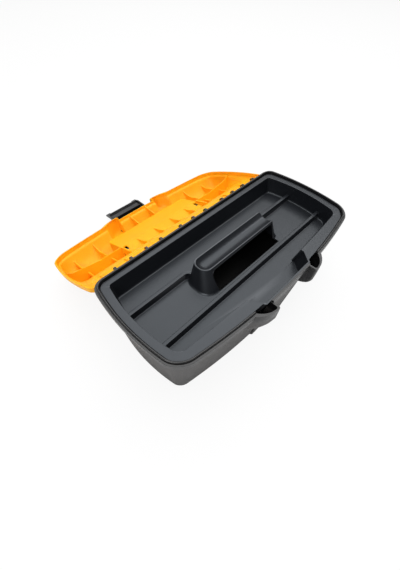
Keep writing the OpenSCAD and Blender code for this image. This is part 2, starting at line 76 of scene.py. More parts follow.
@dataclass(frozen=True)
class Outline:
    """Plan outline of the case: straight back, bowed ends and front, in mm."""

    half: float
    front: float
    back: float
    front_r: float
    back_r: float

    def inset(self, ends: float, front: float | None = None, back: float | None = None) -> "Outline":
        """Pull the outline in.

        Args:
            ends: distance at both ends.
            front: distance at the front, the same as ends if left out.
            back: distance at the back, the same as ends if left out.

        Returns:
            The smaller outline.
        """
        f = ends if front is None else front
        b = ends if back is None else back
        return Outline(self.half - ends, self.front + f, self.back - b,
                       max(self.front_r - ends, self.front_r * 0.6),
                       max(self.back_r - ends, self.back_r * 0.6))

    def ring(self, share: float = 1.0) -> Ring:
        """Points round the outline, against the clock from above.

        Args:
            share: share of the full bow of the front.

        Returns:
            Array of x, y rows.
        """
        h, f, b, rf, rb = self.half, self.front, self.back, self.front_r, self.back_r
        pts = np.vstack([
            straight((-h + rf, f), (h - rf, f), 40),
            turn((h - rf, f + rf), rf, -90, 0, 12),
            straight((h, f + rf), (h, b - rb), 16),
            turn((h - rb, b - rb), rb, 0, 90, 10),
            straight((h - rb, b), (-h + rb, b), 20),
            turn((-h + rb, b - rb), rb, 90, 180, 10),
            straight((-h, b - rb), (-h, f + rf), 16),
            turn((-h + rf, f + rf), rf, 180, 270, 12),
        ])
        yc, hy = (f + b) / 2, (b - f) / 2
        k = share * CASE.front_bow * h / CASE.half
        x = pts[:, 0] * (1 - CASE.end_bow * ((pts[:, 1] - yc) / hy) ** 2 / h)
        y = pts[:, 1] + k * (pts[:, 0] / h) ** 2 * (b - pts[:, 1]) / (b - f)
        return np.column_stack([x, y])


def straight(p: Sequence[float], q: Sequence[float], n: int) -> Ring:
    """Points from p up to, but without, q.

    Args:
        p: first point.
        q: end point, left out.
        n: number of points.

    Returns:
        Array of x, y rows.
    """
    t = np.arange(n)[:, None] / n
    return np.array(p) + (np.array(q) - np.array(p)) * t


def turn(c: Sequence[float], r: float, a0: float, a1: float, n: int, close: bool = False) -> Ring:
    """Points along an arc.

    Args:
        c: centre.
        r: radius.
        a0: first angle in degrees.
        a1: last angle in degrees.
        n: number of points.
        close: whether the last point stands at a1.

    Returns:
        Array of x, y rows.
    """
    a = np.radians(a0 + (a1 - a0) * np.arange(n) / (n - 1 if close else n))
    return np.column_stack([c[0] + r * np.cos(a), c[1] + r * np.sin(a)])


def eased_polygon(points: Sequence[Sequence[float]], radii: Sequence[float], steps: int = 4) -> Ring:
    """A polygon with each corner rounded.

    Args:
        points: corners in order.
        radii: one radius for each corner.
        steps: points on each rounded corner, less one.

    Returns:
        Array of rows; a corner with radius 0 gives one point.
    """
    p = np.array(points, float)
    out: list[np.ndarray] = []
    for i, r in enumerate(radii):
        here, before, after = p[i], p[i - 1], p[(i + 1) % len(p)]
        if r <= 0:
            out.append(here)
            continue
        u, v = before - here, after - here
        lu, lv = np.linalg.norm(u), np.linalg.norm(v)
        u, v = u / lu, v / lv
        half = math.acos(float(np.clip(u @ v, -1, 1))) / 2
        d = min(r / math.tan(half), lu * 0.48, lv * 0.48)
        a, b = here + u * d, here + v * d
        for t in np.linspace(0, 1, steps + 1):
            out.append((1 - t) ** 2 * a + 2 * t * (1 - t) * here + t ** 2 * b)
    return np.array(out)


def smooth_rows(rows: Sequence[Sequence[float]], n: int) -> np.ndarray:
    """A soft curve through rows of numbers, without overshoot.

    Args:
        rows: rows to pass through, first to last.
        n: number of rows wanted.

    Returns:
        Array of n rows.
    """
    r = np.array(rows, float)
    d = np.r_[0, np.cumsum(np.linalg.norm(np.diff(r, axis=0), axis=1))]
    t = np.linspace(0, d[-1], n)
    out = np.empty((n, r.shape[1]))
    for c in range(r.shape[1]):
        h, m = np.diff(d), np.diff(r[:, c]) / np.diff(d)
        s = np.zeros(len(d))
        for i in range(1, len(d) - 1):
            if m[i - 1] * m[i] > 0:
                w1, w2 = 2 * h[i] + h[i - 1], h[i] + 2 * h[i - 1]
                s[i] = (w1 + w2) / (w1 / m[i - 1] + w2 / m[i])
        s[0], s[-1] = m[0], m[-1]
        k = np.clip(np.searchsorted(d, t, side="right") - 1, 0, len(h) - 1)
        u = (t - d[k]) / h[k]
        y0, y1 = r[k, c], r[k + 1, c]
        out[:, c] = ((2 * u ** 3 - 3 * u ** 2 + 1) * y0 + (u ** 3 - 2 * u ** 2 + u) * h[k] * s[k]
                     + (-2 * u ** 3 + 3 * u ** 2) * y1 + (u ** 3 - u ** 2) * h[k] * s[k + 1])
    return out


def slot_ring(x0: float, x1: float, y0: float, y1: float, rl: float, rr: float) -> Ring:
    """A long plan with one radius at each end.

    Args:
        x0: left end.
        x1: right end.
        y0: front.
        y1: back.
        rl: radius of the left corners.
        rr: radius of the right corners.

    Returns:
        Ring of 52 points.
    """
    return np.vstack([turn((x0 + rl, y0 + rl), rl, 180, 270, 17, True),
                      turn((x1 - rr, y0 + rr), rr, -90, 0, 9, True),
                      turn((x1 - rr, y1 - rr), rr, 0, 90, 9, True),
                      turn((x0 + rl, y1 - rl), rl, 90, 180, 17, True)])


# ------------------------------------------------------------------ solids


def side_faces(rings: int, n: int) -> list[list[int]]:
    """Four-cornered faces between neighbouring rings.

    Args:
        rings: number of rings.
        n: points on each ring.

    Returns:
        Vertex numbers of each face.
    """
    faces: list[list[int]] = []
    for k in range(rings - 1):
        for i in range(n):
            j = (i + 1) % n
            faces.append([k * n + i, k * n + j, (k + 1) * n + j, (k + 1) * n + i])
    return faces


@dataclass
class Solid:
    """A closed mesh that is joined to and carved by others, in mm until it is finished."""

    obj: bpy.types.Object

    @staticmethod
    def from_faces(name: str, verts: np.ndarray, faces: Sequence[Sequence[int]]) -> "Solid":
        """Make a closed mesh whose faces point outwards.

        Args:
            name: object name.
            verts: x, y, z rows in mm.
            faces: vertex numbers of each face.

        Returns:
            The solid.
        """
        mesh = bpy.data.meshes.new(name)
        mesh.from_pydata([tuple(map(float, v)) for v in verts], [], [tuple(map(int, f)) for f in faces])
        bm = bmesh.new()
        bm.from_mesh(mesh)
        bmesh.ops.remove_doubles(bm, verts=bm.verts, dist=1e-4)
        bmesh.ops.recalc_face_normals(bm, faces=bm.faces)
        if bm.calc_volume(signed=True) < 0:
            bmesh.ops.reverse_faces(bm, faces=bm.faces)
        bm.to_mesh(mesh)
        bm.free()
        obj = bpy.data.objects.new(name, mesh)
        bpy.context.scene.collection.objects.link(obj)
        return Solid(obj)

    @staticmethod
    def loft(name: str, levels: Sequence[Level]) -> "Solid":
        """Skin rings of equal point count, in the order given, and cap both ends.

        Args:
            name: object name.
            levels: pairs of height and ring.

        Returns:
            The solid.
        """
        n = len(levels[0][1])
        verts = np.vstack([np.column_stack([r, np.full(n, z)]) for z, r in levels])
        caps = [list(range(n))[::-1], [(len(levels) - 1) * n + i for i in range(n)]]
        return Solid.from_faces(name, verts, caps + side_faces(len(levels), n))

    @staticmethod
    def push(name: str, profile: Ring, axis: Axis, start: float, end: float) -> "Solid":
        """Push a flat profile along an axis.

        Args:
            name: object name.
            profile: rows of the two coordinates across the axis; y, z for X, x, z for Y and x, y for Z.
            axis: direction of the push.
            start: first coordinate along the axis.
            end: last coordinate along the axis.

        Returns:
            The solid.
        """
        n = len(profile)

        def place(v: float) -> np.ndarray:
            """The profile set at v along the axis.

            Args:
                v: coordinate along the axis.

            Returns:
                Array of x, y, z rows.
            """
            w = np.full(n, v)
            if axis is Axis.X:
                return np.column_stack([w, profile])
            if axis is Axis.Y:
                return np.column_stack([profile[:, 0], w, profile[:, 1]])
            return np.column_stack([profile, w])

        verts = np.vstack([place(start), place(end)])
        caps = [list(range(n)), list(range(n, 2 * n))[::-1]]
        return Solid.from_faces(name, verts, caps + side_faces(2, n))

    @staticmethod
    def rod(name: str, y: float, z: float, r: float, x0: float, x1: float, n: int = 40) -> "Solid":
        """A round bar along X.

        Args:
            name: object name.
            y: place of its axis.
            z: place of its axis.
            r: radius.
            x0: first end.
            x1: second end.
            n: points round it.

        Returns:
            The solid.
        """
        return Solid.push(name, turn((y, z), r, 0, 360, n), Axis.X, x0, x1)

    @staticmethod
    def block(name: str, low: Sequence[float], high: Sequence[float]) -> "Solid":
        """A square block, used as a cutter."""
        p = np.array([[low[0], low[1]], [high[0], low[1]], [high[0], high[1]], [low[0], high[1]]])
        return Solid.push(name, p, Axis.Z, low[2], high[2])

    def mirrored(self) -> "Solid":
        """Copy the solid to the other side of the middle plane.

        Returns:
            The copy.
        """
        mesh = self.obj.data.copy()
        mesh.transform(Matrix.Scale(-1, 4, (1, 0, 0)))
        mesh.flip_normals()
        obj = bpy.data.objects.new(self.obj.name + "_m", mesh)
        bpy.context.scene.collection.objects.link(obj)
        return Solid(obj)

    def with_(self, other: "Solid", how: Cut) -> "Solid":
        """Combine with another solid, which is used up.

        Args:
            other: the other solid.
            how: join, carve or keep the shared part.

        Returns:
            This solid, changed.
        """
        before = len(self.obj.data.polygons)
        # The second solver is for pairs that the first one hands back empty or unchanged.
        for solver in ("MANIFOLD", "EXACT"):
            mod = self.obj.modifiers.new("cut", "BOOLEAN")
            mod.operation, mod.object, mod.solver = how.value, other.obj, solver
            mesh = self.baked()
            self.obj.modifiers.remove(mod)
            if len(mesh.polygons) and not (solver == "MANIFOLD" and len(mesh.polygons) == before):
                break
        old = self.obj.data
        mesh.name = old.name
        self.obj.data = mesh
        bpy.data.meshes.remove(old)
        other.drop()
        return self

    def join(self, *others: "Solid") -> "Solid":
        """Add other solids to this one.

        Args:
            others: the solids, which are used up.

        Returns:
            This solid, changed.
        """
        for o in others:
            self.with_(o, Cut.JOIN)
        return self

    def carve(self, *others: "Solid") -> "Solid":
        """Take other solids away from this one.

        Args:
            others: the solids, which are used up.

        Returns:
            This solid, changed.
        """
        for o in others:
            self.with_(o, Cut.CARVE)
        return self

    def both(self, make: Callable[[], "Solid"], how: Cut) -> "Solid":
        """Combine with a solid and with its mirror image.

        Args:
            make: makes the solid on the right.
            how: how each is combined.

        Returns:
            This solid, changed.
        """
        right = make()
        left = right.mirrored()
        return self.with_(right, how).with_(left, how)

    def baked(self) -> bpy.types.Mesh:
        """Apply the modifiers.

        Returns:
            A plain mesh of the solid; the solid itself keeps its own.
        """
        bpy.context.view_layer.update()
        deps = bpy.context.evaluated_depsgraph_get()
        return bpy.data.meshes.new_from_object(self.obj.evaluated_get(deps))

    def drop(self) -> None:
        """Remove the solid's object and mesh."""
        mesh = self.obj.data
        bpy.data.objects.remove(self.obj)
        bpy.data.meshes.remove(mesh)

    def moved(self, matrix: Matrix) -> "Solid":
        """Place the solid, still in mm."""
        self.obj.data.transform(matrix)
        return self

    def finish(self, name: str, finish: bpy.types.Material, round_mm: float,
               angle: float = 38) -> bpy.types.Object:
        """Round the edges, set the shading and turn mm into metres.

        Args:
            name: name of the finished piece.
            finish: its material.
            round_mm: width of the rounded edges.
            angle: edges sharper than this are rounded.

        Returns:
            The finished object, at the origin.
        """
        obj = self.obj
        obj.name = name
        bm = bmesh.new()
        bm.from_mesh(obj.data)
        bmesh.ops.remove_doubles(bm, verts=bm.verts, dist=WELD_MM)
        bmesh.ops.dissolve_degenerate(bm, edges=bm.edges, dist=SLIVER_MM)
        bmesh.ops.dissolve_limit(bm, angle_limit=math.radians(FLAT_DEG), verts=bm.verts, edges=bm.edges)
        bm.to_mesh(obj.data)
        bm.free()
        mod = obj.modifiers.new("round", "BEVEL")
        mod.width, mod.segments, mod.limit_method = round_mm, 2, "ANGLE"
        mod.angle_limit, mod.use_clamp_overlap = math.radians(angle), True
        mod.miter_outer = "MITER_ARC"
        mesh = self.baked()
        obj.modifiers.remove(mod)
        obj.data = mesh
        mesh.transform(Matrix.Scale(MM, 4))
        mesh.materials.clear()
        mesh.materials.append(finish)
        mesh.polygons.foreach_set("use_smooth", np.ones(len(mesh.polygons), bool))
        mesh.set_sharp_from_angle(angle=math.radians(SHARP_DEG))
        mod = obj.modifiers.new("flat_faces", "WEIGHTED_NORMAL")
        mod.keep_sharp, mod.weight, mod.mode = True, 50, "FACE_AREA"
        obj.data = self.baked()
        obj.modifiers.remove(mod)
        bpy.data.meshes.remove(mesh)
        obj.data.name = name
        return obj


# ------------------------------------------------------------------ finishes


def socket(tree: bpy.types.NodeTree, name: str, kind: str, way: str, value: float | None = None) -> None:
    """Add a named socket to a node group.

    Args:
        tree: the group.
        name: socket name.
        kind: Blender's socket type.
        way: INPUT or OUTPUT.
        value: default value of an input.
    """
    s = tree.interface.new_socket(name, in_out=way, socket_type=kind)
    if value is not None:
        s.default_value = value


def math_node(tree: bpy.types.NodeTree, kind: str, a: object, b: object,
              clamp: bool = False) -> bpy.types.NodeSocket:
    """One Math node on two sockets or numbers.

    Args:
        tree: node tree it is added to.
        kind: Blender's name of the operation.
        a: first socket or number.
        b: second socket or number.
        clamp: whether the result is kept from 0 to 1.

    Returns:
        The result's socket.
    """
    m = tree.nodes.new("ShaderNodeMath")
    m.operation, m.use_clamp = kind, clamp
    for i, v in enumerate((a, b)):
        if isinstance(v, (int, float)):
            m.inputs[i].default_value = v
        else:
            tree.links.new(v, m.inputs[i])
    return m.outputs[0]


def mask_between(tree: bpy.types.NodeTree, value: bpy.types.NodeSocket, low: float, high: float,
                 top: float = 1.0) -> bpy.types.NodeSocket:
    """A mask that rises from 0 to top while a value goes from low to high.

    Args:
        tree: node tree it is added to.
        value: the value's socket.
        low: where the mask starts.
        high: where it ends.
        top: its highest value.

    Returns:
        The mask's socket.
    """
    node = tree.nodes.new("ShaderNodeMapRange")
    node.inputs["From Min"].default_value = low
    node.inputs["From Max"].default_value = high
    node.inputs["To Max"].default_value = top
    tree.links.new(value, node.inputs["Value"])
    return node.outputs["Result"]


def colour_over(tree: bpy.types.NodeTree, under: bpy.types.NodeSocket, over: Sequence[float],
                mask: bpy.types.NodeSocket) -> bpy.types.NodeSocket:
    """Lay a plain colour over another where a mask is 1.

    Args:
        tree: node tree it is added to.
        under: socket of the colour below.
        over: red, green and blue of the colour above.
        mask: socket of the mask.

    Returns:
        The result's socket.
    """
    mix = tree.nodes.new("ShaderNodeMix")
    mix.data_type = "RGBA"
    mix.inputs[7].default_value = (*over, 1)
    tree.links.new(mask, mix.inputs[0])
    tree.links.new(under, mix.inputs[6])
    return mix.outputs[2]


def moulded_skin_group() -> bpy.types.NodeTree:
    """Shader group for moulded plastic: fine spark-eroded grain, slow sink waves, dust and colour drift.

    Returns:
        The group, with outputs Height, Roughness and Tint.
    """
    g = bpy.data.node_groups.new("moulded_skin", "ShaderNodeTree")
    for n, v in (("Grain size", 900.0), ("Grain depth", 0.5), ("Base roughness", 0.4),
                 ("Roughness spread", 0.1), ("Drift", 0.08), ("Wave depth", 0.3)):
        socket(g, n, "NodeSocketFloat", "INPUT", v)
    for n in ("Height", "Roughness", "Tint"):
        socket(g, n, "NodeSocketFloat", "OUTPUT")
    nodes, links = g.nodes, g.links
    gin, gout = nodes.new("NodeGroupInput"), nodes.new("NodeGroupOutput")
    coord = nodes.new("ShaderNodeTexCoord")

    def noise(scale: float | None, detail: float, rough: float = 0.5) -> bpy.types.Node:
        """One noise texture on Object coordinates.

        Args:
            scale: its scale, or None where a socket gives it.
            detail: number of finer layers.
            rough: weight of the finer layers.

        Returns:
            The node.
        """
        t = nodes.new("ShaderNodeTexNoise")
        t.inputs["Detail"].default_value = detail
        t.inputs["Roughness"].default_value = rough
        if scale is not None:
            t.inputs["Scale"].default_value = scale
        links.new(coord.outputs["Object"], t.inputs["Vector"])
        return t

    op = partial(math_node, g)
    grain = noise(None, 2.0)
    links.new(gin.outputs["Grain size"], grain.inputs["Scale"])
    waves = noise(38.0, 1.0)
    drift = noise(14.0, 4.0, 0.6)
    scuff = noise(210.0, 5.0, 0.65)
    grain_h = op("MULTIPLY", op("SUBTRACT", grain.outputs["Fac"], 0.5), gin.outputs["Grain depth"])
    wave_h = op("MULTIPLY", op("SUBTRACT", waves.outputs["Fac"], 0.5), gin.outputs["Wave depth"])
    links.new(op("ADD", grain_h, wave_h), gout.inputs["Height"])
    mixed = op("ADD", op("SUBTRACT", scuff.outputs["Fac"], 0.5), op("SUBTRACT", drift.outputs["Fac"], 0.5))
    spread = op("MULTIPLY", mixed, gin.outputs["Roughness spread"])
    rough = op("ADD", spread, gin.outputs["Base roughness"], True)
    links.new(rough, gout.inputs["Roughness"])
    shift = op("MULTIPLY", op("SUBTRACT", drift.outputs["Fac"], 0.5), gin.outputs["Drift"])
    links.new(op("ADD", shift, 1.0), gout.inputs["Tint"])
    return g


# Face attribute that marks the tub's inside faces for painted shade.
PAINTED_SHADE_FACE = "inner_face"


@dataclass(frozen=True)
class MouldedPlastic:
    """A moulded plastic finish; lengths are in metres, and grain_size is a noise scale."""

    name: str
    colour: tuple[float, float, float]
    roughness: float
    spread: float
    grain_size: float
    grain_depth: float
    wave_depth: float
    drift: float
    bump: float
    specular: float = 0.5
    # Painted highlight: the edge_* fields lay a lighter colour on convex edges, where the lamps would glint.
    edge_light: float = 0.0
    scatter: float = 0.0
    # Painted shade: the darker colour below is laid over the rim band from rim_from up and over the tub's
    # inside faces.
    painted_shade_colour: tuple[float, float, float] | None = None
    rim_from: float = 0.0
    rim_fade: float = 0.003
    rim_polish: float = 0.16
    sheen_tint: tuple[float, float, float] = (1.0, 1.0, 1.0)
    edge_band: tuple[float, float] = (0.52, 0.62)
    edge_gain: float = 2.6
    edge_lift: float = 0.05
    bump_depth: float = 0.0002
    scatter_reach: tuple[float, float, float] = (0.004, 0.0015, 0.0004)

    def build(self, skin: bpy.types.NodeTree) -> bpy.types.Material:
        """Make the material.

        Args:
            skin: the moulded_skin group.

        Returns:
            The material.
        """
        mat = bpy.data.materials.new(self.name)
        mat.use_nodes = True
        tree = mat.node_tree
        nodes, links = tree.nodes, tree.links
        bsdf = nodes["Principled BSDF"]
        grp = nodes.new("ShaderNodeGroup")
        grp.node_tree = skin
        for n, v in (("Grain size", self.grain_size), ("Grain depth", self.grain_depth),
                     ("Base roughness", self.roughness), ("Roughness spread", self.spread),
                     ("Drift", self.drift), ("Wave depth", self.wave_depth)):
            grp.inputs[n].default_value = v
        hsv = nodes.new("ShaderNodeHueSaturation")
        hsv.inputs["Color"].default_value = (*self.colour, 1)
        links.new(grp.outputs["Tint"], hsv.inputs["Value"])
        colour, rough = hsv.outputs["Color"], grp.outputs["Roughness"]
        # Painted highlight: a lighter colour on convex edges, found by Pointiness.
        if self.edge_light:
            edges = nodes.new("ShaderNodeNewGeometry").outputs["Pointiness"]
            edge_highlight_colour = [min(1.0, c * self.edge_gain + self.edge_lift) for c in self.colour]
            lit = mask_between(tree, edges, *self.edge_band, self.edge_light)
            colour = colour_over(tree, colour, edge_highlight_colour, lit)
        # Painted shade: a darker colour over the rim band and over the faces marked as inside the tub.
        if self.painted_shade_colour:
            axes, inner = nodes.new("ShaderNodeSeparateXYZ"), nodes.new("ShaderNodeAttribute")
            links.new(nodes.new("ShaderNodeTexCoord").outputs["Object"], axes.inputs[0])
            inner.attribute_name = PAINTED_SHADE_FACE
            high = mask_between(tree, axes.outputs["Z"], self.rim_from, self.rim_from + self.rim_fade)
            painted_shade_mask = math_node(tree, "MAXIMUM", high, inner.outputs["Fac"])
            colour = colour_over(tree, colour, self.painted_shade_colour, painted_shade_mask)
            rough = math_node(tree, "ADD", math_node(tree, "MULTIPLY", high, -self.rim_polish), rough)
        links.new(colour, bsdf.inputs["Base Color"])
        links.new(rough, bsdf.inputs["Roughness"])
        bump = nodes.new("ShaderNodeBump")
        bump.inputs["Strength"].default_value = self.bump
        bump.inputs["Distance"].default_value = self.bump_depth
        links.new(grp.outputs["Height"], bump.inputs["Height"])
        links.new(bump.outputs["Normal"], bsdf.inputs["Normal"])
        bsdf.inputs["Specular IOR Level"].default_value = self.specular
        bsdf.inputs["Specular Tint"].default_value = (*self.sheen_tint, 1)
        if self.scatter:
            bsdf.inputs["Subsurface Weight"].default_value = self.scatter
            bsdf.inputs["Subsurface Radius"].default_value = self.scatter_reach
            bsdf.inputs["Subsurface Scale"].default_value = 1.0
        return mat


def mark_painted_shade(obj: bpy.types.Object, eye: Vector) -> None:
    """Mark the faces that look towards a point above the case; the tub's finish is painted darker there, as
    shade inside the tub.

    Args:
        obj: the object.
        eye: the point, in metres.
    """
    faces = obj.data.polygons
    mark = obj.data.attributes.new(PAINTED_SHADE_FACE, "FLOAT", "FACE")
    mark.data.foreach_set("value", [float((eye - f.center).dot(f.normal) > 0) for f in faces])


# The tub's darker rim colour is painted shade, over the rim band and the inside faces.
TUB_GREY = MouldedPlastic(
    "tub_plastic", colour=(0.037, 0.0335, 0.0322), roughness=0.50, spread=0.10, grain_size=1500.0,
    grain_depth=1.1, wave_depth=0.35, drift=0.10, bump=0.55, specular=0.65,
    painted_shade_colour=(0.006, 0.006, 0.0065), rim_from=0.0825)
# The tray's convex edges carry a painted highlight.
TRAY_GREY = MouldedPlastic(
    "tray_plastic", colour=(0.0065, 0.0073, 0.0095), roughness=0.36, spread=0.08, grain_size=1700.0,
    grain_depth=0.6, wave_depth=0.5, drift=0.08, bump=0.40, specular=0.56, edge_light=1.0,
    sheen_tint=(0.86, 0.93, 1.0))
LID_YELLOW = MouldedPlastic(
    "lid_plastic", colour=(0.97, 0.430, 0.007), roughness=0.45, spread=0.06, grain_size=1100.0,
    grain_depth=0.15, wave_depth=0.8, drift=0.03, bump=0.30, specular=0.20, scatter=0.35)
BLACK = MouldedPlastic(
    "black_plastic", colour=(0.006, 0.006, 0.0065), roughness=0.34, spread=0.08, grain_size=1500.0,
    grain_depth=0.3, wave_depth=0.5, drift=0.08, bump=0.35, specular=0.45)


# ------------------------------------------------------------------ the case


@dataclass(frozen=True)
class CaseSizes:
    """Sizes that several sub-assemblies share, in mm."""

    half: float = 160.0
    front_bow: float = 14.5
    end_bow: float = 7.0
    front_r: float = 20.0
    back_r: float = 13.0
    rim_back: float = 71.15
    rim_front: float = -76.25
    ledge_z: float = 94.9
    lip_h: float = 2.4
    ledge_w: float = 2.4
    lip_t: float = 2.0
    shelf: float = 3.4
    guard_in: float = 34.0
    guard_out: float = 69.0
    guard_proj: float = 9.0
    guard_t: float = 2.0
    guard_r: float = 2.4
    axis_y: float = 73.25
    axis_z: float = 89.8
    lid_open: float = 202.4
    hook_groups: tuple[int, int, int] = (4, 3, 4)
    hook_pitch: float = 22.1
    hook_gap: float = 32.3
    rod_d: float = 3.4

    def rim(self, d: float = 0.0) -> Outline:
        """Outline of the rim, pulled in by d."""
        return Outline(self.half, self.rim_front, self.rim_back, self.front_r, self.back_r).inset(d)

    def bow_at(self, x: float) -> float:
        """How far the front line has bowed back at x."""
        return self.front_bow * (x / self.half) ** 2

    def guard_ring(self, f: float, w: float, t: float, y0: float) -> Ring:
        """Plan of a latch guard.

        Args:
            f: front line.
            w: line of the wall at the guard's outer end.
            t: inset, 0 for the outside and the wall's thickness for the hollow.
            y0: line inside the tub that it reaches back to.

        Returns:
            Ring of 40 points.
        """
        i, o, r = self.guard_in + t, self.guard_out - 3 * t, self.guard_r
        span, d = o - i, w - f
        back_by = ((0.3, 0.06), (0.5, 0.2), (0.7, 0.45), (0.88, 0.8))
        between = [[i + span * u, f + t + d * v] for u, v in back_by]
        curve = smooth_rows([[i + r, f + t], *between, [o, f + t + d]], 30)
        corner = [[i, y0], [i, f + t + r]]
        for a in np.radians([15, 30, 45, 60, 75]):
            corner.append([i + r * (1 - math.cos(a)), f + t + r * (1 - math.sin(a))])
        return np.vstack([corner, curve, [[o, y0]]])


CASE = CaseSizes()


def hook_places() -> list[float]:
    """Places of the hinge hooks, from left to right.

    Returns:
        x of each, in groups of four, three and four.
    """
    step = CASE.hook_pitch
    first = step + CASE.hook_gap
    right = [first + k * step for k in range(CASE.hook_groups[-1])]
    return [-x for x in right[::-1]] + [-step, 0.0, step] + right


def row_tree(finish: bpy.types.Material) -> bpy.types.NodeTree:
    """Geometry Nodes tree that sets one piece out along X in grouped rows.

    Args:
        finish: material of the copies.

    Returns:
        The tree, with inputs Count, Pitch, Extra gap, First gap and Second gap.
    """
    g = bpy.data.node_groups.new("grouped_row", "GeometryNodeTree")
    g.interface.new_socket("Geometry", in_out="INPUT", socket_type="NodeSocketGeometry")
    for n, kind, v in (("Count", "NodeSocketInt", 11), ("Pitch", "NodeSocketFloat", 22.1),
                       ("Extra gap", "NodeSocketFloat", 10.2), ("First gap", "NodeSocketInt", 4),
                       ("Second gap", "NodeSocketInt", 7)):
        socket(g, n, kind, "INPUT", v)
    g.interface.new_socket("Geometry", in_out="OUTPUT", socket_type="NodeSocketGeometry")
    nodes, links = g.nodes, g.links
    gin, gout = nodes.new("NodeGroupInput"), nodes.new("NodeGroupOutput")
    line = nodes.new("GeometryNodeMeshLine")
    line.inputs["Offset"].default_value = (0, 0, 0)
    links.new(gin.outputs["Count"], line.inputs["Count"])
    index = nodes.new("GeometryNodeInputIndex")

    op = partial(math_node, g)
    middle = op("MULTIPLY", op("SUBTRACT", gin.outputs["Count"], 1.0), 0.5)
    base = op("MULTIPLY", op("SUBTRACT", index.outputs[0], middle), gin.outputs["Pitch"])
    before = op("LESS_THAN", index.outputs[0], gin.outputs["First gap"])
    after = op("GREATER_THAN", index.outputs[0], op("SUBTRACT", gin.outputs["Second gap"], 0.5))
    x = op("ADD", base, op("MULTIPLY", op("SUBTRACT", after, before), gin.outputs["Extra gap"]))
    place = nodes.new("ShaderNodeCombineXYZ")
    links.new(x, place.inputs["X"])
    move = nodes.new("GeometryNodeSetPosition")
    links.new(line.outputs["Mesh"], move.inputs["Geometry"])
    links.new(place.outputs[0], move.inputs["Position"])
    put = nodes.new("GeometryNodeInstanceOnPoints")
    links.new(move.outputs["Geometry"], put.inputs["Points"])
    links.new(gin.outputs["Geometry"], put.inputs["Instance"])
    real = nodes.new("GeometryNodeRealizeInstances")
    links.new(put.outputs["Instances"], real.inputs["Geometry"])
    dress = nodes.new("GeometryNodeSetMaterial")
    dress.inputs["Material"].default_value = finish
    links.new(real.outputs["Geometry"], dress.inputs["Geometry"])
    links.new(dress.outputs["Geometry"], gout.inputs["Geometry"])
    return g


def set_out_row(one: Solid, tree: bpy.types.NodeTree, **inputs: float) -> Solid:
    """Repeat a solid along X with the grouped_row tree.

    Args:
        one: the solid to repeat, centred on x = 0.
        tree: the tree.
        inputs: values of its named inputs, with _ for a space.

    Returns:
        The row as one solid.
    """
    mod = one.obj.modifiers.new("row", "NODES")
    mod.node_group = tree
    for item in tree.interface.items_tree:
        key = item.name.replace(" ", "_")
        if item.item_type == "SOCKET" and item.in_out == "INPUT" and key in inputs:
            mod[item.identifier] = inputs[key]
    mesh = one.baked()
    one.obj.modifiers.remove(mod)
    one.obj.data = mesh
    return one


